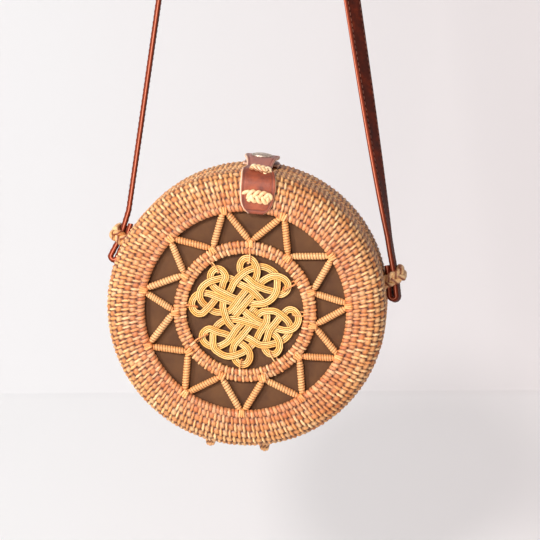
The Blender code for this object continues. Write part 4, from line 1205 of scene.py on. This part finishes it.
def build_ring(material):
    """Two coiled rows of the same weave, worked into one flat ring."""
    half_w = (RING_OUTER_RADIUS - RING_INNER_RADIUS) / 2
    angles = circle_angles(RING_STRIPS_ROUND * RING_COLUMNS_PER_STRIP)
    rows = []
    for turn in circle_angles(RING_SIDES):
        out_r = squarer(math.cos(turn), RING_WIDTH_POWER)
        out_y = squarer(math.sin(turn), RING_THICKNESS_POWER)
        middle = RING_INNER_RADIUS + half_w + half_w * out_r
        along = min(max(1 + out_r, RING_EDGE_SHARE), 2 - RING_EDGE_SHARE)
        along = along + strayed(angles, RING_WAVES)
        height, strip, tone = weave(angles, along, middle, RING_STRIPS_ROUND)
        shift = (height - 1) * WEAVE_DEPTH * RING_WEAVE_SHARE + WEAVE_RISE / 2
        radius = middle + math.cos(turn) * shift
        depth = STRUT_Y + RING_THICKNESS / 2 * out_y + math.sin(turn) * shift
        rows.append((around(radius, depth, angles), height, strip, tone, RING_RED))
    dress("woven_ring", [cane_body(rows)], material, "front_half",
          ["ring_outer_row", "ring_inner_row"])


def self_crossings(points):
    """Places along a flat path, in steps, where it crosses itself, in path order."""
    events = []
    for i in range(len(points) - 1):
        p = points[i]
        r = points[i + 1] - p
        for j in range(i + 2, len(points) - 1):
            q = points[j]
            s = points[j + 1] - q
            cross = r[0] * s[1] - r[1] * s[0]
            if cross == 0:
                continue
            gap = q - p
            t = (gap[0] * s[1] - gap[1] * s[0]) / cross
            u = (gap[0] * r[1] - gap[1] * r[0]) / cross
            if 0 <= t < 1 and 0 <= u < 1:
                events += [i + t, j + u]
    return sorted(events)


def eased_height(place, events, heights):
    """Height at a place on the band, easing from one crossing's height to the next's."""
    if place <= events[0]:
        return heights[0]
    for here, there, low, high in zip(events, events[1:], heights, heights[1:]):
        if place <= there:
            share = (place - here) / (there - here)
            return low + (high - low) * (1 - math.cos(math.pi * share)) / 2
    return heights[-1]


def knot_path():
    """The band's middle line: right, up, and towards the viewer, in fine steps."""
    half = np.array(KNOT_HALF_SHARES)
    whole = np.vstack([-half[::-1], half[1:]]) * RING_INNER_RADIUS
    flat = even_steps(smooth_curve(whole, KNOT_SMOOTH_STEPS), KNOT_STEP)
    events = self_crossings(flat)
    heights = [KNOT_LAYER_RISE if sign == "+" else -KNOT_LAYER_RISE for sign in KNOT_OVER_UNDER]
    path = []
    for i, (right, up) in enumerate(smooth_curve(flat, KNOT_FINE_STEPS)):
        rise = eased_height(i / KNOT_FINE_STEPS, events, heights)
        x = right * math.cos(BAG_ROLL) - up * math.sin(BAG_ROLL)
        z = right * math.sin(BAG_ROLL) + up * math.cos(BAG_ROLL)
        path.append((x, STRUT_Y - rise, z))
    return np.array(path)


def build_knot(material):
    """The band is a few flat canes side by side."""
    path = knot_path()
    ahead = np.gradient(path, axis=0)
    across = unit(np.stack([-ahead[:, 2], 0 * ahead[:, 0], ahead[:, 0]], -1))
    parts = []
    for k in range(KNOT_CANES):
        line = path + across * (k - (KNOT_CANES - 1) / 2) * KNOT_CANE_PITCH
        parts.append(tube(line, KNOT_CANE_PITCH * KNOT_RADIUS_SHARE, KNOT_SIDES,
                          flat=KNOT_CANE_THICKNESS / KNOT_CANE_PITCH,
                          tone=from_least(CANE_TONE_SHARE, chance(k, KNOT_SEED))))
    dress("cane_knot", parts, material, "front_half", ["centre_knot"])


def build_knot_ties(material):
    """A thin cane at each ear: round the ear's outer bend and round the ring's edge."""
    parts = []
    nodes = []
    outer = RING_INNER_RADIUS + TIE_OUTSIDE
    for number, (angle, share) in enumerate(zip(TIE_ANGLES, TIE_INNER_SHARES), 1):
        inner = RING_INNER_RADIUS * share - TIE_INSIDE
        loop = []
        for turn in circle_angles(TIE_STEPS):
            reach = (outer - inner) / 2 * squarer(math.cos(turn), TIE_POWER)
            loop.append(polar((inner + outer) / 2 + reach,
                              angle + TIE_SWEEP_DEGREES * math.sin(turn),
                              STRUT_Y + TIE_RISE * math.sin(turn)))
        parts.append(tube(loop, TIE_CANE_RADIUS, THIN_CANE_SIDES, up=sideways(angle),
                          closed=True, tone=chance(number, TIE_SEED), side_shade=False))
        nodes.append(f"knot_tie_{number}")
    dress("ear_ties", parts, material, "front_half", nodes)


# Lining


def build_panel_cloth(prefix, side, body_name, material):
    """A round of cloth on the inside of a half's face, a little rippled near its middle."""
    angles = circle_angles(LINING_COLUMNS)
    near = FACE_INNER - CLEARANCE
    far = near - LINING_THICKNESS
    rings = []
    for depth, shares in ((near, LINING_RING_SHARES), (far, LINING_RING_SHARES[::-1])):
        for share in shares:
            phase = angles * LINING_RIPPLES_ROUND + share * LINING_RIPPLE_TURN
            ripple = LINING_RIPPLE * np.sin(phase) * (1 - share)
            rings.append(around(FLAT_RADIUS * share, side * (depth + ripple), angles))
    panel = dress(prefix + "_lining_cloth", [ringed(rings)], material, body_name,
                  [prefix + "_lining_panel"])


def build_wall_cloth(prefix, side, body_name, material):
    """A strip of cloth round the inside of a half's wall, from the seam round the inner
    corner almost to the panel."""
    angles = circle_angles(LINING_COLUMNS)
    outer = WALL_INNER_RADIUS - CLEARANCE
    inner = outer - LINING_THICKNESS
    width = RIM_DEPTH - CLEARANCE
    places = [(0.0, CLEARANCE + width * i / LINING_STEPS) for i in range(LINING_STEPS)]
    places += [(LINING_TURN * i / LINING_STEPS, RIM_DEPTH) for i in range(LINING_STEPS + 1)]
    layers = []
    for radius in (outer, inner):
        corner = radius - FLAT_RADIUS
        layers.append([around(FLAT_RADIUS + corner * math.cos(turn),
                              side * (depth + corner * math.sin(turn)), angles)
                       for turn, depth in places])
    rings = layers[0] + layers[1][::-1]
    wall = dress(prefix + "_wall_cloth", [ringed(rings, closed=True)], material, body_name,
                 [prefix + "_lining_wall"])
    middle_radius = (outer + inner) / 2
    width = width + LINING_TURN * (middle_radius - FLAT_RADIUS)


# Leather tab, its partner and the lacings


def leather_sheet(path, half_widths, faded):
    """A strip of leather along a path in the bag's frame, with rounded edges and a
    pressed line near them. Its width runs along X."""
    ahead = unit(np.gradient(path, axis=0))
    ups = unit(np.stack([0 * ahead[:, 0], -ahead[:, 2], ahead[:, 1]], -1))
    sideways_axis = np.array((1.0, 0.0, 0.0))
    half_t = LEATHER / 2
    across = LEATHER_COLUMNS
    rings, rims, grooves = [], [], []
    lengths = lengths_along(path)
    for i, (point, up, half_w) in enumerate(zip(path, ups, half_widths)):
        end_gap = min(lengths[i], lengths[-1] - lengths[i])
        xs = np.linspace(-1, 1, across) * (half_w - half_t * LEATHER_ROUNDED_SHARE)
        inset = half_w - np.abs(xs)
        line = np.exp(-((inset - LINE_INSET) / LINE_WIDTH) ** 2)
        if end_gap < LINE_INSET:
            line = line * 0
        elif end_gap < LINE_INSET * LINE_END_SHARE:
            line = np.where(inset > LINE_INSET, 1.0, line)
        top = point + np.outer(xs, sideways_axis) + np.outer(half_t - line * LINE_DEPTH, up)
        bottom = point + np.outer(xs[::-1], sideways_axis) - up * half_t
        right = point + sideways_axis * half_w
        left = point - sideways_axis * half_w
        lip = up * half_t * LEATHER_RIM_SHARE
        rings.append(np.vstack([top, right + lip, right - lip, bottom, left - lip, left + lip]))
        rim = np.zeros(across * 2 + 4)
        rim[across:across + 2] = 1.0
        rim[-2:] = 1.0
        rim[0] = LEATHER_CORNER_RIM
        rims.append(rim)
        grooves.append(np.concatenate([line, np.zeros(across + 4)]))
    # Each row's share of the painted sheen colour.
    sheen_rows = [np.full(len(ring), share) for ring, share in zip(rings, faded)]
    return ringed(rings, rim=rims, groove=grooves, faded=sheen_rows)


def tab_line():
    """Middle line of the whole tab in the bag's frame, with its half widths."""
    middle = CLEARANCE + LEATHER / 2
    reach = RIM_RADIUS + middle
    corners = [(TAB_FOOT_SHIFT, -HALF_DEPTH - middle, TAB_FOOT_HEIGHT)]
    for i in range(TAB_BEND_STEPS + 1):
        angle = math.pi / 2 * i / TAB_BEND_STEPS
        corners.append((TAB_FOOT_SHIFT * math.cos(angle), -RIM_DEPTH - reach * math.cos(angle),
                        FLAT_RADIUS + reach * math.sin(angle)))
    corners.append((0.0, -TAB_HINGE_DEPTH, BAG_RADIUS + middle))
    laced = even_steps(np.array(corners), STEP)

    under = BAG_RADIUS + LEATHER + STUD_FLANGE + SOCKET_THICKNESS + CLEARANCE * 4
    lift = under + LEATHER / 2 - laced[-1][2]
    rise_length = TAB_HINGE_DEPTH + SNAP_DEPTH - CAP_RADIUS
    flap = []
    for share in np.linspace(0, 1, FLAP_STEPS + 1):
        run = (TAB_HINGE_DEPTH + FLAP_REACH) * share
        eased = min(1.0, run / rise_length)
        eased = eased * eased * (3 - 2 * eased)
        flap.append((0.0, run - TAB_HINGE_DEPTH, laced[-1][2] + lift * eased))
    flap = even_steps(np.array(flap), STEP)
    halves = [TAB_WIDTH / 2 * share_at(table, np.linspace(0, 1, len(line)))
              for table, line in ((TAB_WIDTH_SHARES, laced), (FLAP_WIDTH_SHARES, flap))]
    half = np.concatenate([halves[0], halves[1][1:]])
    ends = TAB_SMOOTHING // 2
    padded = np.concatenate([[half[0]] * ends, half, [half[-1]] * ends])
    smoothed = np.convolve(padded, np.ones(TAB_SMOOTHING) / TAB_SMOOTHING, mode="valid")
    return np.vstack([laced, flap[1:]]), smoothed


def build_tab(material):
    """The whole tab as one leather strip, which bends where its free end starts."""
    path, half = tab_line()
    # Painted sheen: the tab grows paler and lilac over the bag's top edge and along the flap, where
    # it faces up to the light.
    faded = np.clip((path[:, 1] + RIM_DEPTH) / RIM_RADIUS + TAB_SHEEN_LEAD_SHARE, 0, 1)
    piece = make_piece("closing_tab", [leather_sheet(path, half, faded)], [material])
    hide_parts("front_tab", "tab_flap")
    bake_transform(piece)


def build_back_tab(material):
    start = np.array((0.0, CLEARANCE * 2, BAG_RADIUS + CLEARANCE + LEATHER / 2))
    end = start + np.array((0.0, BACK_TAB_LENGTH, 0.0))
    path = even_steps(np.array([start, end]), STEP)
    half = BACK_TAB_WIDTH / 2 * share_at(BACK_TAB_WIDTH_SHARES, np.linspace(0, 1, len(path)))
    # The back tab lies on the bag's top and takes the painted sheen all over.
    dress("back_tab_leather", [leather_sheet(path, half, np.ones(len(path)))], material,
          "back_half", ["back_tab"])


def build_cap(material):
    """Domed snap cap with a rolled rim, on the end of the flap."""
    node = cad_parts["snap_cap"]
    corners = np.array([tuple(node.matrix_world @ Vector(c)) for c in node.bound_box])
    outline = list(CAP_OUTLINE_SHARES)
    for angle in np.linspace(0, math.pi / 2 * CAP_DOME_TURN_SHARE, CAP_DOME_POINTS):
        outline.append((CAP_DOME_WIDTH_SHARE * math.cos(angle),
                        from_least(CAP_DOME_HEIGHT_SHARE, math.sin(angle))))
    angles = circle_angles(CAP_COLUMNS)
    rings = []
    for r, h in outline:
        local = np.stack([CAP_RADIUS * r * np.cos(angles), CAP_RADIUS * r * np.sin(angles),
                          CAP_THICKNESS * h + 0 * angles], -1)
        rings.append(local @ BAG_TURN.T + corners.mean(0))
    dress("snap_dome", [ringed(rings)], material, "tab_flap", ["snap_cap"],
          in_bag=False)


def dress_snap(material):
    """The hidden snap parts keep their own shapes and take the metal's look."""
    for name in ("snap_socket", "snap_stud"):
        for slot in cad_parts[name].material_slots:
            slot.material = material


def plait(line, right, up, swing, rise, wave, radius, flat, seed, taper=0.0):
    """Canes plaited along a line. right and up are the plait's own directions, and wave
    is the run over which a cane crosses and comes back. taper is how much of the far
    end narrows, in metres."""
    lengths = lengths_along(line)
    full = swing * np.ones(len(line))
    if taper > 0:
        full = swing * np.clip((lengths[-1] - lengths) / taper, PLAIT_THINNEST_SHARE, 1)
    parts = []
    for k in range(PLAIT_CANES):
        phase = lengths / wave * math.tau + k * math.tau / PLAIT_CANES
        path = (line + right * (np.sin(phase) * full)[:, None]
                + up * (np.sin(phase * 2) * rise)[:, None])
        parts.append(tube(path, radius, CANE_SIDES, up=up[len(line) // 2], flat=flat,
                          tone=from_least(CANE_TONE_SHARE, chance(k, seed))))
    return parts


def over_tab(x, run, height):
    """A point above the tab's outer face, and its direction away from the tab. run goes
    from the top of the bag's rounded edge, down over it to the face; before it, run is
    negative."""
    reach = TAB_OUTSIDE_RADIUS + height
    arc = reach * math.pi / 2
    if run < 0:
        return np.array((x, -RIM_DEPTH - run, FLAT_RADIUS + reach)), np.array((0.0, 0.0, 1.0))
    if run < arc:
        up = np.array((0.0, -math.sin(run / reach), math.cos(run / reach)))
        return np.array((x, -RIM_DEPTH, FLAT_RADIUS)) + up * reach, up
    return np.array((x, -RIM_DEPTH - reach, FLAT_RADIUS - run + arc)), np.array((0.0, -1.0, 0.0))


def lacing_line(run, left, right, height):
    """Points of a lacing's middle line over the tab, and their directions away from it.
    The line dips into the bag at both ends."""
    rows = []
    for i in range(LACING_STEPS + 1):
        share = i / LACING_STEPS
        x, past = (a + (b - a) * share for a, b in zip(left, right))
        bend = min(1.0, min(share, 1 - share) * LACING_DIPS)
        rows.append(over_tab(x, run + past, height * (bend * 2 - 1)))
    return (np.array(column) for column in zip(*rows))


def build_lacing(material, name, body, node, run, left, right, height, **shape):
    points, ups = lacing_line(run, left, right, height)
    across = unit(np.cross(unit(np.gradient(points, axis=0)), ups))
    parts = plait(points, across, ups, flat=LACING_FLATNESS, **shape)
    dress(name, parts, material, body, [node])


# Cane loops


def build_hinge_loops(material):
    """Each hinge loop is three turns of cane side by side, drawn together below."""
    turns = circle_angles(HINGE_STEPS)
    low = 0.5 - 0.5 * np.sin(turns)
    ridges = ridged(HINGE_WRAPS, math.tau * HINGE_RING_RADIUS, HINGE_GROOVE_SHARE)
    for side, name in ((LEFT, "left"), (RIGHT, "right")):
        centre = HINGE_POINT + np.array((side * HINGE_HALF_SPACING, 0.0, 0.0))
        parts = []
        for k in (-1, 0, 1):
            spread = HINGE_TURN_SPREAD * (HINGE_TOP_SPREAD_SHARE - HINGE_DRAWN_SHARE * low)
            aside = k * spread + low * side * HINGE_STRAY
            reach = HINGE_LOOP_SEEN_RADIUS - abs(k) * HINGE_STRAY * low
            path = centre + np.stack([aside, reach * np.cos(turns), reach * np.sin(turns)], -1)
            tone = from_least(HINGE_TONE_SHARE, chance(HINGE_SEED + k, HINGE_SEED + side))
            parts.append(tube(path, HINGE_TURN_RADIUS, CANE_SIDES, up=(1.0, 0.0, 0.0),
                              closed=True, ridges=ridges, tone=tone))
        dress("bottom_loop_" + name, parts, material, "back_half",
              ["hinge_loop_" + name])


def side_loop_line(side):
    """Middle line of a side loop, from root to root, and the way it stands out."""
    root, outward = (np.array(vector) for vector in side_loop_frame(side))
    half_w = LOOP_HOLE_WIDTH / 2 + LOOP_BRAID_THICKNESS / 2
    reach = LOOP_HOLE_REACH + LOOP_BRAID_THICKNESS / 2 - LOOP_SEEN_SHORTER[side]
    flat = [(-LOOP_ROOT / 2, -half_w)]
    for i in range(LOOP_BEND_STEPS + 1):
        angle = math.pi / 2 * i / LOOP_BEND_STEPS
        flat.append((reach - LOOP_BEND_RADIUS + LOOP_BEND_RADIUS * math.sin(angle),
                     -half_w + LOOP_BEND_RADIUS - LOOP_BEND_RADIUS * math.cos(angle)))
    flat += [(out, -across) for out, across in reversed(flat)]
    points = [root + outward * out + np.array((0.0, across, 0.0)) for out, across in flat]
    return even_steps(np.array(points), STEP), outward


def build_side_loops(material):
    """Thick plait of three canes along each loop."""
    for side, name in ((LEFT, "left"), (RIGHT, "right")):
        line, outward = side_loop_line(side)
        upward = np.array((-outward[2] * side, 0.0, outward[0] * side))
        ups = np.broadcast_to(upward, line.shape)
        out = unit(np.cross(unit(np.gradient(line, axis=0)), ups))
        line = line + np.array((0.0, 0.0, LOOP_SEEN_RISE))
        parts = plait(line, ups, out, seed=LOOP_SEED + side, **LOOP_SHAPE)
        dress("braided_loop_" + name, parts, material, "back_half",
              ["strap_loop_" + name])


# Shoulder strap


def strap_leg(side):
    """One leg in the world: its loop's hole, its direction and outward side, the pivot
    above the loop, and where the leg meets the peg."""
    peg = Vector((0, 0, -PEG_RADIUS))
    bend = PEG_RADIUS + STRAP_THICKNESS / 2
    hole = BAG @ side_loop_hole(side)
    place = hole
    for _ in range(2):
        to_peg = peg - place
        lean = math.asin(bend / to_peg.length) * side
        direction = Vector((
            to_peg.x * math.cos(lean) + to_peg.z * math.sin(lean), 0,
            -to_peg.x * math.sin(lean) + to_peg.z * math.cos(lean),
        )).normalized()
        outward = Vector((direction.z, 0, -direction.x)) * side
        place = hole + outward * (STRAP_THICKNESS + FOLD_GAP) / 2
    to_peg = peg - place
    tangent = place + direction * math.sqrt(to_peg.length_squared - bend * bend)
    return hole, direction, outward, place + direction * PIVOT_ABOVE_LOOP, tangent


def strap_side(side):
    """Rows of one leg from its tail, round the fold and up to the peg, and the leg's
    outward side. A row is a point of the middle line, its outward side and its twist."""
    hole, direction, outward, pivot, tangent = strap_leg(side)
    bend, end_twist = TAIL_BEND[side], END_TWIST[side]
    half_layer = (STRAP_SEEN_THICKNESS + FOLD_GAP) / 2
    tail_up = direction * math.cos(bend) - outward * math.sin(bend)
    tail_out = outward * math.cos(bend) + direction * math.sin(bend)
    middle_out = (outward + tail_out).normalized()
    fold_reach = half_layer + FOLD_BULGE
    fold_drop = FOLD_BELOW_LOOP[side] - STRAP_THICKNESS / 2 - fold_reach
    fold_centre = hole - tail_up * fold_drop + tail_out * FOLD_BULGE * FOLD_OUT_SHARE
    aside = Vector((LEG_SHIFT[side], 0, 0))
    seen_hole = hole + aside * HOLE_SHIFT_SHARE
    tail = hole - outward * half_layer + direction * FOLD_TAIL_ABOVE_LOOP
    rows = [(tail + aside * TAIL_SHIFT_SHARE, -outward, -end_twist),
            (seen_hole - middle_out * half_layer, -middle_out, -end_twist)]
    for i in range(FOLD_STEPS + 1):
        angle = math.pi * (1 - i / FOLD_STEPS)
        around_fold = tail_out * math.cos(angle) - tail_up * math.sin(angle)
        fold_twist = end_twist * math.sin(math.pi * (i / FOLD_STEPS - 0.5))
        rows.append((fold_centre + around_fold * fold_reach, around_fold, fold_twist))
    rows.append((seen_hole + middle_out * half_layer, middle_out, end_twist))
    for i in range(LEG_STEPS + 1):
        share = i / LEG_STEPS
        twist = end_twist * (1 - share)
        if side == LEFT:
            bow = aside * max(0.0, 1 - share / LEFT_BOW_SHARE) ** LEFT_BOW_POWER
        else:
            bow = Vector((RIGHT_BOW * math.sin(math.pi * share) ** 2, 0, 0))
        if side == RIGHT and 0 < share < 1:
            twist = max(twist, STRAP_TWIST * math.sin(math.pi * share) ** STRAP_TWIST_POWER)
        rows.append((pivot.lerp(tangent, share) + bow, outward, twist))
    return rows, outward


def strap_route():
    """The strap's middle line from one folded tail over the peg to the other, with its
    outward side and twist at each point."""
    left_rows, left_out = strap_side(LEFT)
    right_rows, right_out = strap_side(RIGHT)
    start = math.atan2(left_out.z, left_out.x)
    end = math.atan2(right_out.z, right_out.x)
    over = []
    for i in range(1, PEG_STEPS):
        angle = start + (end - start) * i / PEG_STEPS
        outward = Vector((math.cos(angle), 0, math.sin(angle)))
        point = Vector((0, 0, -PEG_RADIUS)) + outward * (PEG_RADIUS + STRAP_THICKNESS / 2)
        over.append((point, outward, 0.0))
    return left_rows + over + right_rows[::-1]


def strap_section():
    """Points round the strap, as place across, height, and shares of rim and pressed
    line, and which of them lie on the cut sides. The second half of the points is the
    first one turned about the middle."""
    half_w = STRAP_WIDTH / 2
    half_t = STRAP_SEEN_THICKNESS / 2
    rounding = half_t * STRAP_ROUNDED_SHARE
    inner_w = half_w - rounding
    half = []
    for x in np.linspace(-inner_w, inner_w, STRAP_COLUMNS):
        line = math.exp(-((half_w - abs(x) - SEAM_INSET) / SEAM_WIDTH) ** 2)
        half.append((x, half_t - SEAM_DEPTH * line, 0.0, line))
    outer_share, inner_share = STRAP_EDGE_SHARES
    edge = [(half_w, half_t - rounding, 0.0, 0.0), (half_w, half_t * outer_share, 0.0, 0.0),
            (half_w - STRAP_EDGE_INSET, half_t * inner_share, 1.0, 0.0)]
    half += edge + [(x, -z, rim, line) for x, z, rim, line in reversed(edge)]
    section = np.array(half + [(-x, -z, rim, line) for x, z, rim, line in half])
    cut_side = (np.abs(section[:, 0]) > inner_w + rounding / 2) * 1.0
    return section, cut_side


def strap_stitches(goals, middle, across, face):
    """Stitches along both edges, on both faces."""
    parts = []
    half_t = STRAP_SEEN_THICKNESS / 2
    heights = half_t - STITCH_SUNK + STITCH_SHARES[:, 1] * STITCH_SUNK
    for place in np.arange(STITCH_PITCH, goals[-1] - STITCH_PITCH, STITCH_PITCH):
        ends = place + STITCH_LENGTH * STITCH_SHARES[:, 0]
        point, side, up = (at_lengths(ends, goals, table) for table in (middle, across, face))
        for edge_side in (-1, 1):
            for face_side in (-1, 1):
                line = (point + side * edge_side * (STRAP_WIDTH / 2 - SEAM_INSET)
                        + up * (face_side * heights)[:, None])
                parts.append(tube(line, STITCH_RADIUS, STITCH_SIDES, up=tuple(up[2]), slot=1))
    return parts


def build_strap(material, thread):
    """One leather strap of two layers sewn together, with both ends folded back."""
    points, outs, twists = (np.array(column) for column in zip(*strap_route()))
    lengths = lengths_along(points)
    last_end = lengths[-1] - STRAP_END_LENGTH
    goals = np.concatenate([
        np.arange(0, STRAP_END_LENGTH, STRAP_END_STEP),
        np.arange(STRAP_END_LENGTH, last_end, STRAP_LEG_STEP),
        np.arange(last_end, lengths[-1], STRAP_END_STEP), [lengths[-1]],
    ])
    middle = at_lengths(goals, lengths, points)
    out = unit(at_lengths(goals, lengths, outs))
    twist = np.interp(goals, lengths, twists)[:, None]
    depth_axis = np.array((0.0, 1.0, 0.0))
    across = depth_axis * np.cos(twist) + out * np.sin(twist)
    face = out * np.cos(twist) - depth_axis * np.sin(twist)
    section, cut_side = strap_section()
    rings = [point + np.outer(section[:, 0], a) + np.outer(section[:, 1], f)
             for point, a, f in zip(middle, across, face)]
    count = len(rings)
    parts = [ringed(rings, rim=[section[:, 2]] * count, groove=[section[:, 3]] * count,
                    cut_side=[cut_side] * count)]
    parts += strap_stitches(goals, middle, across, face)
    piece = make_piece("shoulder_strap", parts, [material, thread], in_bag=False)
    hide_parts("strap", "strap_end_left", "strap_end_right")
    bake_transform(piece)


# Camera, light and backdrop


def place_camera():
    azimuth, elevation = CAMERA_AZIMUTH, CAMERA_ELEVATION
    back = Vector((math.sin(azimuth) * math.cos(elevation),
                   -math.cos(azimuth) * math.cos(elevation), math.sin(elevation)))
    right = Vector((math.cos(azimuth), math.sin(azimuth), 0))
    up = back.cross(right)
    level = right * math.cos(CAMERA_ROLL) + up * math.sin(CAMERA_ROLL)
    upright = up * math.cos(CAMERA_ROLL) - right * math.sin(CAMERA_ROLL)
    place = Vector(CAMERA_TARGET) + back * CAMERA_DISTANCE
    turn = Matrix((level, upright, back)).transposed().to_4x4()
    data = bpy.data.cameras.new("camera")
    data.sensor_width = SENSOR_MM
    data.lens = FOCAL_PIXELS / FRAME_PIXELS * SENSOR_MM
    camera = bpy.data.objects.new("camera", data)
    camera.matrix_world = Matrix.Translation(place) @ turn
    bpy.context.scene.collection.objects.link(camera)
    bpy.context.scene.camera = camera


def build_lamps():
    """Soft studio lamps that look at the bag: a key from the left, a fill from near the
    camera and a faint one from the far left."""
    for name, (offset, width, power, colour) in LAMPS.items():
        data = bpy.data.lights.new(name, "AREA")
        data.shape = "DISK"
        data.size = width
        data.energy = power
        data.color = colour
        lamp = bpy.data.objects.new(name, data)
        place = LIT_MIDDLE + Vector(offset)
        turn = (LIT_MIDDLE - place).to_track_quat("-Z", "Y").to_matrix().to_4x4()
        lamp.matrix_world = Matrix.Translation(place) @ turn
        bpy.context.scene.collection.objects.link(lamp)


def build_world():
    """A faint pale light from all sides, which the camera and glossy surfaces see as
    pale paper."""
    world = bpy.data.worlds.new("studio")
    look = Look(world)
    light = look.nodes["Background"]
    light.inputs["Color"].default_value = WORLD_LIGHT
    light.inputs["Strength"].default_value = WORLD_STRENGTH
    seen = look.add("ShaderNodeBackground", {"Color": PAPER_FAR, "Strength": 1.0}, "Background")
    blend = look.mix_shaders(look.seen_directly(), light.outputs["Background"], seen)
    look.feed(look.nodes["World Output"], {"Surface": blend})
    bpy.context.scene.world = world
    bpy.context.scene.view_settings.view_transform = "Standard"


def paper_material():
    """Pale paper that shows half of its own colour to the camera and keeps half of the shadow. Its
    colour turns a little darker and pinker to the right, a painted falloff of light, and its floor
    part is whiter. It is clear from behind, so that it hides nothing."""
    look = new_look("pale_paper")
    axes = look.nodes.new("ShaderNodeSeparateXYZ")
    look.feed(axes, {"Vector": look.place()})
    share = look.span(axes.outputs["X"], BACKDROP_ACROSS_SPAN, (0.0, 1.0))
    low = look.span(axes.outputs["Z"], BACKDROP_FLOOR_SPAN, (FLOOR_WHITE_SHARE, 0.0))
    colour = look.mix(low, look.ramp(share, (0.0, 1.0), (PAPER_LEFT, PAPER_RIGHT)), WHITE)
    bump = look.bump(look.noise(*PAPER_NOISE), *PAPER_BUMP)
    material = look.shade({"Base Color": colour, "Roughness": DULL, "Normal": bump})
    glow = look.add("ShaderNodeEmission", {"Color": colour}, "Emission")
    seen = look.calculate("MULTIPLY", look.seen_directly(), GLOW_SHARE)
    paper = look.mix_shaders(seen, look.nodes["Principled BSDF"].outputs["BSDF"], glow)
    clear = look.add("ShaderNodeBsdfTransparent", {}, "BSDF")
    behind = look.add("ShaderNodeNewGeometry", {}, "Backfacing")
    surface = look.mix_shaders(behind, paper, clear)
    look.feed(look.nodes["Material Output"], {"Surface": surface})
    return material


def build_backdrop():
    """A sweep of paper: a floor well below the bag, a slope behind it that takes its
    shadow, and a wall."""
    points = [(side * BACKDROP_HALF_WIDTH, depth, height) for depth, height in BACKDROP_PROFILE
              for side in (LEFT, RIGHT)]
    faces = [(i, i + 1, i + 3, i + 2) for i in range(0, len(points) - 2, 2)]
    backdrop = make_piece("backdrop", [part(np.array(points), faces)], [paper_material()],
                          in_bag=False, closed=False)


# Put it together

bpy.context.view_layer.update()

place_camera()
rattan = cane_material("rattan_weave", **RATTAN)
wound = cane_material("rattan_wound", **WOUND)
knot_cane = cane_material("knot_cane_look", **KNOT)
lacing_cane = cane_material("lacing_cane_look", **CREAM)
braid = cane_material("loop_cane_look", **BRAID)
cloth = cloth_material("lining_cloth_look", **CLOTH)
tab_leather = leather_material("tab_leather_look", **TAB_LEATHER)
strap_leather = leather_material("strap_leather_look", **STRAP_LEATHER)
strap_thread = leather_material("strap_thread", **THREAD)
metal = metal_material("snap_metal_look", **METAL)

build_front_weave(rattan)
build_back_weave(rattan)
build_binding("front_bound_edge", FRONT, "front_edge_binding", "front_half", wound)
build_binding("back_bound_edge", BACK, "back_edge_binding", "back_half", wound)
build_struts(wound)
build_ring(rattan)
build_knot(knot_cane)
build_knot_ties(wound)
for prefix, side in (("front", FRONT), ("back", BACK)):
    build_panel_cloth(prefix, side, prefix + "_half", cloth)
    build_wall_cloth(prefix, side, prefix + "_half", cloth)
build_tab(tab_leather)
build_back_tab(tab_leather)
build_cap(metal)
for lacing in LACINGS:
    build_lacing(lacing_cane, **lacing)
build_hinge_loops(wound)
build_side_loops(braid)
build_strap(strap_leather, strap_thread)
dress_snap(metal)
build_lamps()
build_world()
build_backdrop()
